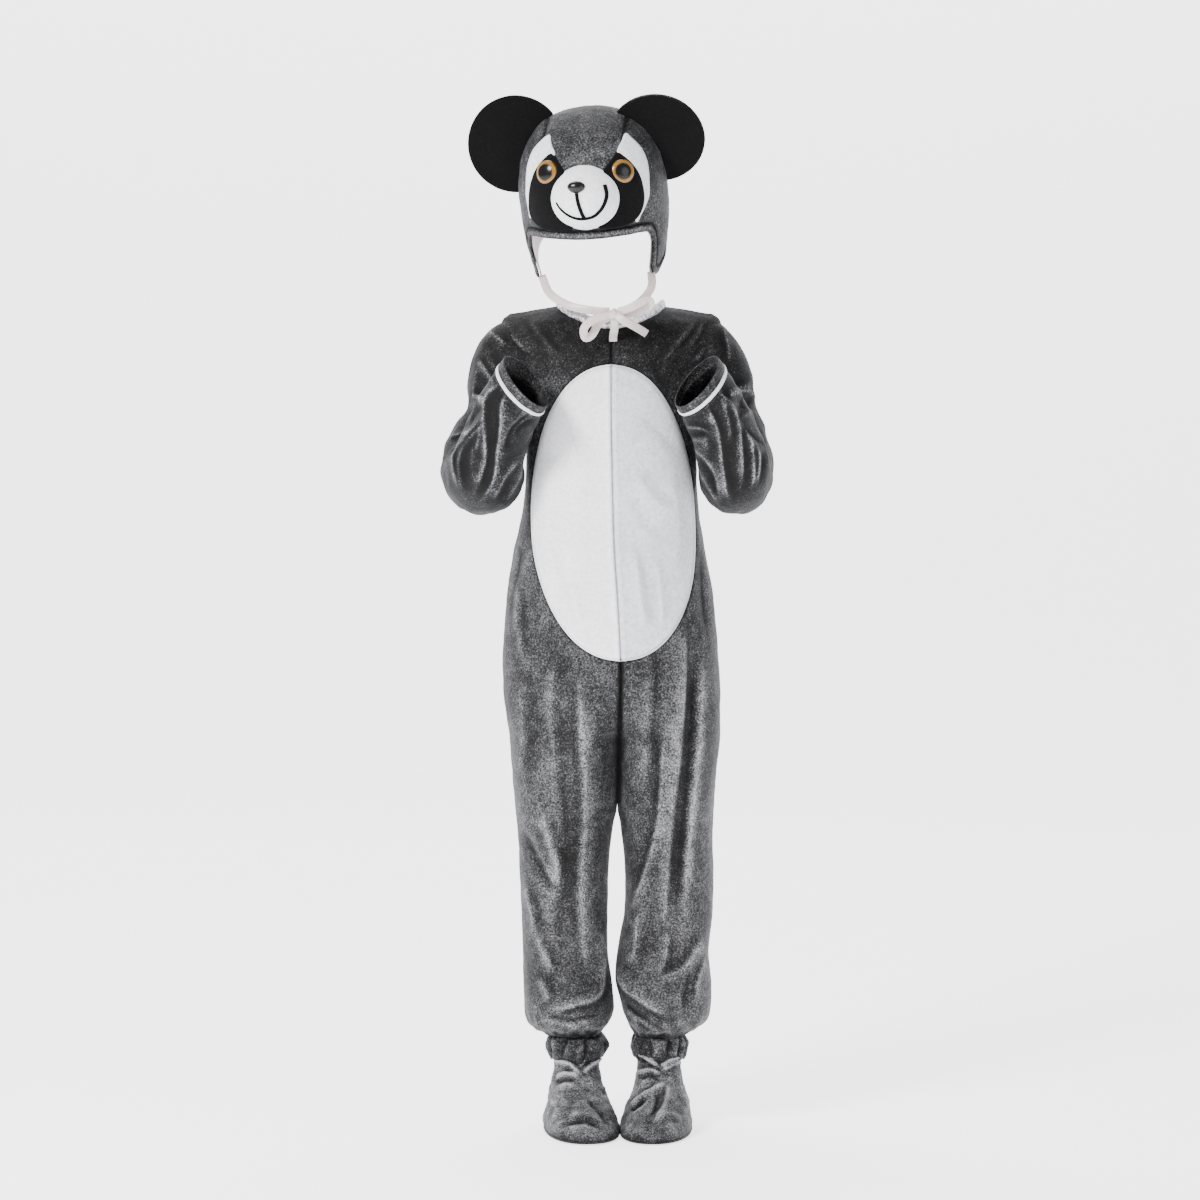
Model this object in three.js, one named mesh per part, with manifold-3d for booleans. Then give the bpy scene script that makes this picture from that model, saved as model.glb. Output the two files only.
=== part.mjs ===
// Koala costume: a child's jumpsuit, cap and pair of booties, in the hollow form in which they are worn.
// Millimetres, +Z up, the front faces -Y. The origin is at the shoulder line, midway between the shoulders.

import * as THREE from 'three';
import { mergeVertices } from 'three/addons/utils/BufferGeometryUtils.js';
import Module from 'manifold-3d';

const wasm = await Module();
wasm.setup();

// Cloth and seams
const WALL = 2;
const SEAM = 0.3;
const APPLIQUE = 1.5;
const LINING = 1.2;
const RIBBON_WIDTH = 10;
const RIBBON_THICK = 1;

// Levels of the suit
const FLOOR_Z = -868;
const ANKLE_Z = -770;
const FRILL_HEM_Z = -796;
const SIDE_SEAM_Y = 4;

// Distances past every piece, for cuts that run right through
const FAR = 240;
const FAR_DOWN = -900;

// How far a core runs past the ends of the tube that it hollows
const RUN_PAST = 4;

// How finely the walls are divided
const BODY_SIDES = 24;
const BODY_STEPS = 20;
const SLEEVE_SIDES = 14;
const BOOTIE_SIDES = 14;
const CAP_SIDES = 20;
const ROUND_SIDES = 12;
const EAR_SIDES = 20;
const GATHER_STEPS = 2;

// Half of the body at each level, from shoulder ridge to ankle. right and left are the distances of the two
// side edges from the centre-front line, front and back the depths from the side seam, lobe is where the
// front is deepest, inner the edge next to the other half, and mid is where the centre-front line lies.
const bodyRows = [
  { z: 6, right: 107, left: 107, front: 7, back: 7, lobe: 0, inner: -107, mid: 0 },
  { z: 1, right: 114, left: 114, front: 23, back: 24, lobe: 0, inner: -114, mid: 0 },
  { z: -9, right: 117, left: 117, front: 42, back: 42, lobe: 0, inner: -117, mid: 0 },
  { z: -28, right: 116, left: 116, front: 58, back: 57, lobe: 0, inner: -116, mid: 0 },
  { z: -60, right: 107, left: 107, front: 72, back: 68, lobe: 0, inner: -107, mid: 0 },
  { z: -110, right: 93, left: 93, front: 80, back: 74, lobe: 0, inner: -93, mid: 0 },
  { z: -160, right: 91, left: 90, front: 84, back: 76, lobe: 0, inner: -91, mid: 1 },
  { z: -213, right: 96, left: 91, front: 87, back: 76, lobe: 0, inner: -94, mid: 2 },
  { z: -251, right: 107, left: 96, front: 91, back: 77, lobe: 0, inner: -102, mid: 3.5 },
  { z: -289, right: 115, left: 101, front: 93, back: 79, lobe: 0, inner: -108, mid: 6 },
  { z: -328, right: 121, left: 103, front: 91, back: 83, lobe: 3, inner: -100, mid: 8.3 },
  { z: -369, right: 125, left: 105, front: 86, back: 87, lobe: 14, inner: -72, mid: 10 },
  { z: -413, right: 123, left: 107, front: 82, back: 88, lobe: 36, inner: -30, mid: 9.5 },
  { z: -450, right: 117, left: 108, front: 79, back: 85, lobe: 53, inner: 0.4, mid: 8.5 },
  { z: -502, right: 112, left: 104, front: 73, back: 75, lobe: 55, inner: 0.6, mid: 7.5 },
  { z: -547, right: 106, left: 103, front: 67, back: 68, lobe: 55, inner: 4.5, mid: 6 },
  { z: -591, right: 104, left: 103, front: 62, back: 64, lobe: 56, inner: 8.5, mid: 6 },
  { z: -636, right: 101, left: 103, front: 59, back: 61, lobe: 55, inner: 9, mid: 5.5 },
  { z: -681, right: 95, left: 103, front: 60, back: 58, lobe: 52, inner: 4.5, mid: 1.5 },
  { z: -710, right: 96, left: 104, front: 60, back: 59, lobe: 50, inner: 1.6, mid: 2.6 },
  { z: -740, right: 100, left: 99, front: 57, back: 58, lobe: 50, inner: 4, mid: 7.5 },
  { z: -756, right: 96, left: 91, front: 47, back: 49, lobe: 49, inner: 10, mid: 8.3 },
  { z: -770, right: 77, left: 72, front: 29, back: 31, lobe: 47, inner: 19, mid: 7.4 },
  { z: -790, right: 75, left: 70, front: 27, back: 29, lobe: 47, inner: 21, mid: 7.4 },
];
const BODY_ROUNDNESS = 2.3;
const SHOULDER_DROP = 8;
const SHOULDER_DROP_START = 50;
const SHOULDER_DROP_END = 115;
const SHOULDER_DROP_DEPTH = 70;

// The largest folds of the body: a soft ridge or trough between two places of the front (face -1) or the
// back (face 1), seen from the front. side -1 is the suit's right half, rise is the height over the cloth.
const bodyFolds = [
  { side: -1, face: -1, x1: -28, z1: -425, x2: -32, z2: -575, wide: 26, rise: 6 },
  { side: -1, face: -1, x1: -85, z1: -690, x2: -62, z2: -738, wide: 18, rise: 5 },
  { side: -1, face: -1, x1: -70, z1: -455, x2: -92, z2: -640, wide: 22, rise: -4 },
  { side: 1, face: -1, x1: 79, z1: -330, x2: 69, z2: -500, wide: 20, rise: 6 },
  { side: 1, face: -1, x1: 69, z1: -500, x2: 52, z2: -670, wide: 20, rise: 6 },
  { side: 1, face: -1, x1: 30, z1: -500, x2: 36, z2: -620, wide: 18, rise: -4 },
  { side: 1, face: -1, x1: 38, z1: -628, x2: 12, z2: -703, wide: 15, rise: 4 },
  { side: -1, face: 1, x1: -50, z1: -400, x2: -60, z2: -600, wide: 28, rise: 5 },
  { side: 1, face: 1, x1: 55, z1: -400, x2: 66, z2: -610, wide: 28, rise: 5 },
  { side: -1, face: 1, x1: -80, z1: -690, x2: -40, z2: -725, wide: 18, rise: 4 },
  { side: 1, face: 1, x1: 88, z1: -690, x2: 48, z2: -722, wide: 18, rise: 4 },
];

// Belly inset: an oval on the front, in two halves that meet at the centre-front seam
const BELLY = { middleZ: -222, halfWidth: 86, above: 166, below: 141, roundness: 2.15 };
const BELLY_POINTS = 32;

// Neck opening and its binding
const NECK = { halfWidth: 56, halfDepth: 49, y: 3, top: 60, bottom: -60 };
const BINDING = { height: 7, thick: 2.6, lean: 2.5 };

// Centre-back lap of the hook-and-loop closure
const PLACKET = { halfWidth: 12, top: -30, bottom: -300 };

// Sleeve sections from inside the armhole to the cuff. x is the distance of the centre from the middle of the
// body. wide is the half-width along an axis that leans up and out by lean degrees, deep the half-depth along
// an axis that turns by pitch degrees from straight back, through down at the elbow, to forward at the wrist.
const sleeveRows = [
  { step: 0, x: 82, y: 4, z: -52, lean: 82, pitch: 0, wide: 45, deep: 36 },
  { step: 1, x: 101, y: 4, z: -56, lean: 78, pitch: 0, wide: 48, deep: 39 },
  { step: 2, x: 115, y: 4, z: -67, lean: 62, pitch: 0, wide: 45, deep: 40 },
  { step: 3, x: 123, y: 4, z: -88, lean: 40, pitch: 0, wide: 35.5, deep: 38 },
  { step: 4, x: 125, y: 4, z: -108, lean: 17, pitch: 0, wide: 29, deep: 36 },
  { step: 5, x: 132, y: 4, z: -126, lean: 5, pitch: 2, wide: 35, deep: 36 },
  { step: 6, x: 136, y: 1, z: -150, lean: 8, pitch: 30, wide: 41, deep: 38 },
  { step: 7, x: 137, y: -14, z: -167, lean: 10, pitch: 60, wide: 42.5, deep: 40 },
  { step: 8, x: 135, y: -35, z: -173, lean: 12, pitch: 90, wide: 42, deep: 40 },
  { step: 9, x: 131, y: -55, z: -165, lean: 18, pitch: 120, wide: 40, deep: 37 },
  { step: 10, x: 126, y: -66, z: -151, lean: 25, pitch: 145, wide: 37, deep: 34 },
  { step: 11, x: 115, y: -87, z: -119, lean: 32, pitch: 148, wide: 34, deep: 33 },
  { step: 12, x: 102, y: -106, z: -94, lean: 42, pitch: 150, wide: 33, deep: 32 },
  { step: 13, x: 88, y: -122, z: -72, lean: 50, pitch: 150, wide: 33, deep: 31 },
];
// The left sleeve is a little slimmer at the elbow and fuller below the shoulder than the right one
const LEFT_SLEEVE = { elbowIn: 8, elbowFrom: 4, elbowTo: 10, shoulderIn: 9, shoulderStep: 2 };
const TAPE = { from: 12.56, to: 12.68, thick: 0.8 };

// Ankle frill below the elastic
const FRILL = { gathers: 14, wave: 1.8, waistX: 25.6, waistY: 27.6, hemX: 30.5, hemY: 31.5 };
const FRILL_WAIST_Z = -775;

// Booties. Each section has its heel, its toe and its half-width; the sole lies below the last section.
const bootieRows = [
  { z: -772, heel: 26, toe: -26, half: 24 },
  { z: -790, heel: 26, toe: -26, half: 23 },
  { z: -808, heel: 30, toe: -29, half: 25 },
  { z: -824, heel: 34, toe: -42, half: 28 },
  { z: -838, heel: 37, toe: -72, half: 33 },
  { z: -849, heel: 38, toe: -98, half: 37 },
  { z: -858, heel: 38, toe: -114, half: 40 },
  { z: -865, heel: 36, toe: -119, half: 40 },
];
const ANKLE_LEVELS = [-772, -790, -808];
const FOOT_LEVELS = [-818, -828, -838, -847, -854, -860, -865];
const BOOTIE_ROUNDNESS = 2.25;
const SOLE_TUCK = 0.8;
const ANKLES = {
  right: { x: -36.5, y: 8, turn: 7, scale: 0.97 },
  left: { x: 51.5, y: 8, turn: -5, scale: 0.94 },
};

// Cap: an oval dome, bowed forward and turned a little to one side
const CAP = { x: -18, y: -22, z: 122, bow: 22, roll: -2, turn: -8 };
const DOME = { side: 77, front: 93, top: 93, below: 150, roundness: 2.5 };
const CROWN_HALF = 42;
const BAND_WIDTH = 12;
// Lower edge of the cap seen from its side, from the front over the ear flap to the back
const capEdge = [
  [-110, -8], [-90, -10], [-78, -12], [-64, -15], [-53, -22], [-47, -35], [-45, -52], [-42, -68],
  [-34, -77], [-18, -79], [-2, -72], [20, -62], [45, -56], [75, -52], [110, -52],
];
// Ears: the right one leans back from the cap by lean degrees, and the left one forward
const EAR = { radius: 50, thick: 2.4, back: 3.2, bulge: 5, y: 6, room: 12 };
const EAR_PLACES = { right: { x: -79, z: 58.5, lean: -16 }, left: { x: 70, z: 57.5, lean: 10 } };
// Outlines of the brow and eye patches of the cap, seen from the cap's front
const PATCHES = {
  right: {
    brow: [
      [-34.8, 81.8], [-46, 74.4], [-53.7, 66.6], [-58.5, 57.5], [-61, 48.6], [-62.4, 37.4], [-63, 25.2],
      [-62.3, 15.6], [-60.5, 4.7], [-58.8, 0.3], [-48, 25], [-38, 50], [-27.8, 66.5], [-32, 75],
    ],
    eye: [
      [-31, 69], [-39, 64.3], [-46.6, 56.3], [-53.3, 45.4], [-57.5, 32.5], [-59.5, 19.5], [-60, 7.5],
      [-57.3, -0.3], [-51.2, -5], [-41.3, -7.4], [-24, -6], [-10, 0], [-10, 30], [-16, 52], [-24, 63],
    ],
  },
  left: {
    brow: [
      [43.2, 78.3], [49.8, 72.9], [57.4, 64.2], [62, 55.5], [64.8, 46.1], [65.8, 37], [66.1, 25.5],
      [65.1, 15.1], [61.4, 7.2], [57.1, 0.4], [51.6, -5], [46, 25], [42, 45], [36, 66], [40, 73.5],
    ],
    eye: [
      [36.4, 66.8], [44.1, 61.5], [50.9, 54.2], [56.4, 44.6], [60, 33.9], [61.3, 21.3], [60.6, 11.6],
      [57.3, 3], [52.4, -2.6], [46, -5.4], [30, -6], [14, 0], [14, 30], [22, 52], [30, 61],
    ],
  },
};
const MUZZLE = { x: 2.5, y: -72, z: 24.6, half: 37.6, depth: 36, height: 35 };
const NOSE = { x: -2.6, z: 45.6, half: 9.8, depth: 6, height: 7.2 };
// Eyes: flat lenses that face up by rise degrees and outwards by out degrees
const EYE = { radius: 13, depth: 6, rise: 23, out: 27 };
const EYE_PLACES = { right: { x: -35.8, y: -69.5, z: 52 }, left: { x: 41.4, y: -67.5, z: 49 } };

// Ribbon ties: the middle line of each stretch, from the ear flap to the bow in front of the neck opening
const KNOT = { x: 3, y: -74, z: -3, halfWidth: 7, halfDepth: 6, halfHeight: 6 };
const ties = {
  tie_strap_right: [[-73, -21, 38], [-64, -38, 19], [-43, -57, 6], [-18, -67, 1], [0, -70, 0]],
  tie_strap_left: [[42, -37, 42], [42, -50, 26], [32, -61, 12], [20, -67, 4], [6, -70, 0]],
  tie_loop_right: [
    [0, -75.5, -3], [-18, -80, -8], [-28, -79, -17], [-27, -75, -27], [-20, -73, -24], [-12, -71, -11],
    [-1, -72, -5],
  ],
  tie_loop_left: [[6, -75.5, -2], [24, -80, 6], [37, -78, 12], [41, -75, 8], [34, -72, 2], [6, -72, -4]],
  tie_end_right: [[3, -74, -4], [3.6, -73.6, -12], [3, -67, -20], [2, -60, -26], [2, -56.4, -31]],
  tie_end_left: [[5.5, -78, -3], [11, -81.5, -8], [20, -79, -13], [29, -71, -18], [37, -62, -23]],
};

const VELOUR = 0x4b4c52;
const FLEECE = 0xe9e6e0;
const FELT = 0x17171a;
const SATIN = 0xe8dcda;
const TAPE_WHITE = 0xdedee2;
const PLASTIC = 0x0c0c0e;
const AMBER = 0x8a5a1c;

const radians = THREE.MathUtils.degToRad;

// Smooth step from 0 to 1 as value goes from start to end
function fade(value, start, end) {
  const t = THREE.MathUtils.clamp((value - start) / (end - start), 0, 1);
  return t * t * (3 - 2 * t);
}

// The row of a table at any value of its key column, on a smooth curve through the rows
function rowAt(rows, key, value) {
  const last = rows.length - 1;
  const rising = rows[last][key] > rows[0][key] ? 1 : -1;
  let i = 0;
  while (i < last - 1 && (value - rows[i + 1][key]) * rising > 0) {
    i += 1;
  }
  const here = rows[i];
  const next = rows[i + 1];
  const before = rows[Math.max(i - 1, 0)];
  const after = rows[Math.min(i + 2, last)];
  const span = next[key] - here[key];
  const t = (value - here[key]) / span;
  const row = {};
  for (const column of Object.keys(here)) {
    const slopeHere = ((next[column] - before[column]) / (next[key] - before[key])) * span;
    const slopeNext = ((after[column] - here[column]) / (after[key] - here[key])) * span;
    const a = 2 * t ** 3 - 3 * t ** 2 + 1;
    const b = t ** 3 - 2 * t ** 2 + t;
    const c = -2 * t ** 3 + 3 * t ** 2;
    const d = t ** 3 - t ** 2;
    row[column] = a * here[column] + b * slopeHere + c * next[column] + d * slopeNext;
  }
  return row;
}

// Cosine or sine squared off towards a rounded rectangle
function squared(value, roundness) {
  return Math.sign(value) * Math.abs(value) ** (2 / roundness);
}

// Closed mesh through rings of points, with a fan at each end
function loft(rings) {
  const sides = rings[0].length;
  const points = rings.flat();
  const index = [];
  for (let r = 0; r < rings.length - 1; r += 1) {
    for (let i = 0; i < sides; i += 1) {
      const j = (i + 1) % sides;
      const a = r * sides + i;
      const b = r * sides + j;
      index.push(a, b, a + sides, b, b + sides, a + sides);
    }
  }
  for (const end of [0, rings.length - 1]) {
    const middle = points.length;
    const centre = new THREE.Vector3();
    rings[end].forEach((point) => centre.addScaledVector(point, 1 / sides));
    points.push(centre);
    for (let i = 0; i < sides; i += 1) {
      const a = end * sides + i;
      const b = end * sides + ((i + 1) % sides);
      index.push(...(end === 0 ? [middle, b, a] : [middle, a, b]));
    }
  }
  const geometry = new THREE.BufferGeometry().setFromPoints(points);
  geometry.setIndex(index);
  return facingOut(geometry);
}

// The closed mesh with its faces pointing out
function facingOut(geometry) {
  const place = geometry.attributes.position;
  const index = geometry.index.array;
  const corner = [new THREE.Vector3(), new THREE.Vector3(), new THREE.Vector3()];
  let volume = 0;
  for (let i = 0; i < index.length; i += 3) {
    corner.forEach((point, k) => point.fromBufferAttribute(place, index[i + k]));
    volume += corner[0].dot(corner[1].clone().cross(corner[2]));
  }
  if (volume < 0) {
    for (let i = 0; i < index.length; i += 3) {
      [index[i], index[i + 1]] = [index[i + 1], index[i]];
    }
  }
  return geometry;
}

// Solid of a closed mesh
function solid(geometry) {
  let mesh = geometry.clone();
  mesh.deleteAttribute('normal');
  mesh.deleteAttribute('uv');
  mesh = facingOut(mergeVertices(mesh, 1e-4));
  return new wasm.Manifold(new wasm.Mesh({
    numProp: 3,
    vertProperties: Float32Array.from(mesh.attributes.position.array),
    triVerts: Uint32Array.from(mesh.index.array),
  }));
}

// Closed mesh with each point moved out along its normal
function swollen(geometry, distance) {
  const mesh = geometry.clone();
  mesh.computeVertexNormals();
  const place = mesh.attributes.position;
  const normal = mesh.attributes.normal;
  for (let i = 0; i < place.count; i += 1) {
    place.setXYZ(
      i,
      place.getX(i) + normal.getX(i) * distance,
      place.getY(i) + normal.getY(i) * distance,
      place.getZ(i) + normal.getZ(i) * distance,
    );
  }
  return mesh;
}

function box(x1, x2, y1, y2, z1, z2) {
  const shape = new THREE.BoxGeometry(x2 - x1, y2 - y1, z2 - z1);
  shape.translate((x1 + x2) / 2, (y1 + y2) / 2, (z1 + z2) / 2);
  return solid(shape);
}

// Prism of an outline in X and Z, from y1 to y2
function prism(outline, y1, y2) {
  const shape = new THREE.Shape(outline.map(([x, z]) => new THREE.Vector2(x, z)));
  const geometry = new THREE.ExtrudeGeometry(shape, { depth: y2 - y1, bevelEnabled: false });
  geometry.rotateX(Math.PI / 2);
  geometry.translate(0, y2, 0);
  return solid(geometry);
}

function geometryOf(shape) {
  const mesh = shape.getMesh();
  const geometry = new THREE.BufferGeometry();
  const places = [];
  for (let i = 0; i < mesh.vertProperties.length; i += mesh.numProp) {
    places.push(mesh.vertProperties[i], mesh.vertProperties[i + 1], mesh.vertProperties[i + 2]);
  }
  geometry.setAttribute('position', new THREE.Float32BufferAttribute(places, 3));
  geometry.setIndex(Array.from(mesh.triVerts));
  return geometry;
}

function surface(color, roughness) {
  return new THREE.MeshStandardMaterial({ color, roughness, metalness: 0 });
}

const costume = new THREE.Group();
costume.name = 'koala_costume';

function addPiece(group, name, shape, material) {
  const geometry = shape.isBufferGeometry ? shape : geometryOf(shape);
  const mesh = new THREE.Mesh(geometry, material);
  mesh.name = name;
  group.add(mesh);
}

// Height of a fold over the cloth at a place seen from the front
function foldHeight(side, face, x, z) {
  let height = 0;
  for (const fold of bodyFolds) {
    if (fold.side === side && fold.face === face) {
      const alongX = fold.x2 - fold.x1;
      const alongZ = fold.z2 - fold.z1;
      const length = Math.hypot(alongX, alongZ);
      const t = ((x - fold.x1) * alongX + (z - fold.z1) * alongZ) / length ** 2;
      const off = Math.abs((x - fold.x1) * alongZ - (z - fold.z1) * alongX) / length;
      const ends = fade(t, -0.15, 0.3) * (1 - fade(t, 0.7, 1.15));
      height += fold.rise * ends * (1 - fade(off, 0, fold.wide));
    }
  }
  return height;
}

// Section of one half of the body at a level. Its centre-front line is at x = 0.
function bodyRing(side, z) {
  const row = rowAt(bodyRows, 'z', z);
  const reach = side < 0 ? row.right : row.left;
  const drop = SHOULDER_DROP * (1 - fade(-z, 0, SHOULDER_DROP_DEPTH));
  const ring = [];
  for (let i = 0; i < BODY_SIDES; i += 1) {
    const turn = (2 * Math.PI * i) / BODY_SIDES;
    const across = Math.cos(turn) > 0 ? reach - row.lobe : row.lobe - row.inner;
    const depth = Math.sin(turn) > 0 ? row.front : row.back;
    const outX = squared(Math.cos(turn), BODY_ROUNDNESS);
    const outY = -squared(Math.sin(turn), BODY_ROUNDNESS);
    const x = row.lobe + across * outX;
    const rise = foldHeight(side, outY < 0 ? -1 : 1, side * x, z);
    const y = SIDE_SEAM_Y + (depth + rise) * outY;
    const lowered = drop * fade(Math.abs(x), SHOULDER_DROP_START, SHOULDER_DROP_END);
    ring.push(new THREE.Vector3(side * x, y, z - lowered));
  }
  return ring;
}

// Levels of the sections: close together at the shoulder and the ankle
function bodyLevels() {
  const levels = [6, 1, -9, -28, -54];
  const from = -84;
  const to = -740;
  for (let i = 0; i < BODY_STEPS - 8; i += 1) {
    levels.push(from + ((to - from) * i) / (BODY_STEPS - 9));
  }
  levels.push(-756, ANKLE_Z, -790);
  return levels;
}

// Level of the body's outer surface over a place near the neck
function shoulderLevel(x, y) {
  let above = 6;
  let below = -110;
  for (let i = 0; i < 30; i += 1) {
    const z = (above + below) / 2;
    const row = rowAt(bodyRows, 'z', z);
    const depth = y < SIDE_SEAM_Y ? row.front : row.back;
    const outside = (Math.abs(x) / row.right) ** BODY_ROUNDNESS
      + (Math.abs(y - SIDE_SEAM_Y) / depth) ** BODY_ROUNDNESS;
    if (outside > 1) {
      above = z;
    } else {
      below = z;
    }
  }
  const drop = SHOULDER_DROP * (1 - fade(-above, 0, SHOULDER_DROP_DEPTH));
  return above - drop * fade(Math.abs(x), SHOULDER_DROP_START, SHOULDER_DROP_END);
}

function bellyOutline(grow) {
  const outline = [];
  for (let i = 0; i < BELLY_POINTS; i += 1) {
    const turn = (2 * Math.PI * i) / BELLY_POINTS;
    const tall = Math.sin(turn) > 0 ? BELLY.above : BELLY.below;
    outline.push([
      (BELLY.halfWidth + grow) * squared(Math.cos(turn), BELLY.roundness),
      BELLY.middleZ + (tall + grow) * squared(Math.sin(turn), BELLY.roundness),
    ]);
  }
  return outline;
}

// Section of a sleeve at a step of its table, grown by a distance
function sleeveRing(side, step, grow) {
  const row = rowAt(sleeveRows, 'step', step);
  let wide = row.wide;
  let x = row.x;
  if (side > 0) {
    const elbow = fade(step, LEFT_SLEEVE.elbowFrom, 6) * (1 - fade(step, 8, LEFT_SLEEVE.elbowTo));
    wide -= (LEFT_SLEEVE.elbowIn / 2) * elbow;
    x -= (LEFT_SLEEVE.elbowIn / 2) * elbow;
    const away = Math.abs(step - LEFT_SLEEVE.shoulderStep);
    wide -= (LEFT_SLEEVE.shoulderIn / 2) * (1 - fade(away, 0, 1.2));
  }
  const lean = radians(row.lean);
  const pitch = radians(row.pitch);
  const across = new THREE.Vector3(side * Math.cos(lean), 0, Math.sin(lean));
  const deep = new THREE.Vector3(0, Math.cos(pitch), -Math.sin(pitch));
  deep.addScaledVector(across, -deep.dot(across)).normalize();
  const ring = [];
  for (let i = 0; i < SLEEVE_SIDES; i += 1) {
    const turn = (2 * Math.PI * i) / SLEEVE_SIDES;
    const point = new THREE.Vector3(side * x, row.y, row.z);
    point.addScaledVector(across, (wide + grow) * Math.cos(turn));
    point.addScaledVector(deep, (row.deep + grow) * Math.sin(turn));
    ring.push(point);
  }
  return ring;
}

// First and last ring moved outwards along the tube, so that a core cut from a wall leaves it open
function runPast(rings) {
  const middle = (ring) => {
    const sum = new THREE.Vector3();
    ring.forEach((point) => sum.addScaledVector(point, 1 / ring.length));
    return sum;
  };
  const ends = [[0, 1], [rings.length - 1, rings.length - 2]];
  for (const [end, inner] of ends) {
    const out = middle(rings[end]).sub(middle(rings[inner])).setLength(RUN_PAST);
    rings[end].forEach((point) => point.add(out));
  }
  return rings;
}

// Jumpsuit: body, belly inset, sleeves, bindings and ankle frills
function buildSuit() {
  const velour = () => surface(VELOUR, 0.85);
  const neckShape = new THREE.Shape();
  neckShape.absellipse(0, NECK.y, NECK.halfWidth, NECK.halfDepth, 0, 2 * Math.PI);
  const neckGeometry = new THREE.ExtrudeGeometry(neckShape, {
    depth: NECK.top - NECK.bottom, bevelEnabled: false, curveSegments: 18,
  });
  neckGeometry.translate(0, 0, NECK.bottom);
  const neckHole = solid(neckGeometry);
  const bellyCut = prism(bellyOutline(-SEAM / 2), -FAR, 0);
  const bellyHole = prism(bellyOutline(SEAM / 2), -FAR, 0);
  const backLayer = [];

  for (const side of [-1, 1]) {
    const name = side < 0 ? 'right' : 'left';
    const rings = bodyLevels().map((z) => bodyRing(side, z));
    const outside = loft(rings);
    const filled = solid(outside);
    const core = solid(swollen(outside, -WALL));
    const edges = side < 0 ? [-FAR, -SEAM / 2] : [SEAM / 2, FAR];
    const half = box(...edges, -FAR, FAR, ANKLE_Z, FAR);

    const steps = [];
    for (let step = 0; step <= 12; step += 1) {
      steps.push(step);
    }
    steps.push(TAPE.from, TAPE.to, 13);
    const arm = solid(loft(steps.map((step) => sleeveRing(side, step, 0))));
    const armCore = solid(loft(runPast(steps.map((step) => sleeveRing(side, step, -WALL)))));

    const wall = filled.intersect(half).subtract(core).subtract(armCore).subtract(neckHole);
    const frontHalf = box(-FAR, FAR, -FAR, SIDE_SEAM_Y - SEAM / 2, FAR_DOWN, FAR);
    const backHalf = box(-FAR, FAR, SIDE_SEAM_Y + SEAM / 2, FAR, FAR_DOWN, FAR);
    const front = wall.intersect(frontHalf);
    addPiece(costume, `front_${name}`, settled(front.subtract(bellyHole)), velour());
    addPiece(costume, `belly_${name}`, settled(front.intersect(bellyCut)), surface(FLEECE, 0.95));
    addPiece(costume, `back_${name}`, settled(wall.intersect(backHalf)), velour());

    const body = solid(swollen(outside, SEAM));
    addPiece(costume, `sleeve_${name}`, arm.subtract(armCore).subtract(body), velour());
    const tapeRing = (grow) => [TAPE.from, TAPE.to].map((step) => sleeveRing(side, step, grow));
    const tape = solid(loft(tapeRing(SEAM + TAPE.thick)));
    const tapeHole = solid(loft(runPast(tapeRing(SEAM))));
    addPiece(costume, `cuff_tape_${name}`, tape.subtract(tapeHole), surface(TAPE_WHITE, 0.6));

    backLayer.push(solid(swollen(outside, SEAM + APPLIQUE)).subtract(body));
  }

  const lap = box(-PLACKET.halfWidth, PLACKET.halfWidth, SIDE_SEAM_Y, FAR, PLACKET.bottom, PLACKET.top);
  const right = box(-FAR, 0, -FAR, FAR, FAR_DOWN, FAR);
  const left = box(0, FAR, -FAR, FAR, FAR_DOWN, FAR);
  const placket = backLayer[0].intersect(right).add(backLayer[1].intersect(left)).intersect(lap);
  addPiece(costume, 'back_placket', settled(placket.subtract(neckHole)), velour());
  addPiece(costume, 'neck_binding', neckBinding(), surface(TAPE_WHITE, 0.6));
}

// Mesh of a body piece, moved so that its centre-front line follows the suit's
function settled(shape) {
  const geometry = geometryOf(shape);
  const place = geometry.attributes.position;
  for (let i = 0; i < place.count; i += 1) {
    place.setX(i, place.getX(i) + rowAt(bodyRows, 'z', place.getZ(i)).mid);
  }
  return geometry;
}

// Binding that stands on the cut edge of the neck
function neckBinding() {
  const count = 40;
  const rings = [];
  for (let i = 0; i < count; i += 1) {
    const turn = (2 * Math.PI * i) / count;
    const place = (grow, up) => {
      const x = (NECK.halfWidth + grow) * Math.cos(turn);
      const y = NECK.y + (NECK.halfDepth + grow) * Math.sin(turn);
      return new THREE.Vector3(x, y, 0).setZ(up);
    };
    const edgeX = NECK.halfWidth * Math.cos(turn);
    const edgeY = NECK.y + NECK.halfDepth * Math.sin(turn);
    const base = shoulderLevel(edgeX, edgeY) + 2 * SEAM;
    const inner = -BINDING.thick / 2;
    const outer = BINDING.thick / 2;
    rings.push([
      place(outer, base),
      place(outer - BINDING.lean, base + BINDING.height),
      place(inner - BINDING.lean, base + BINDING.height),
      place(inner, base),
    ]);
  }
  return closedBand(rings);
}

// Closed mesh round a loop of sections
function closedBand(sections) {
  const sides = sections[0].length;
  const index = [];
  sections.forEach((section, s) => {
    const next = (s + 1) % sections.length;
    for (let i = 0; i < sides; i += 1) {
      const j = (i + 1) % sides;
      const a = s * sides + i;
      const b = s * sides + j;
      const c = next * sides + i;
      const d = next * sides + j;
      index.push(a, b, c, b, d, c);
    }
  });
  const geometry = new THREE.BufferGeometry().setFromPoints(sections.flat());
  geometry.setIndex(index);
  return solid(geometry);
}

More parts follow.
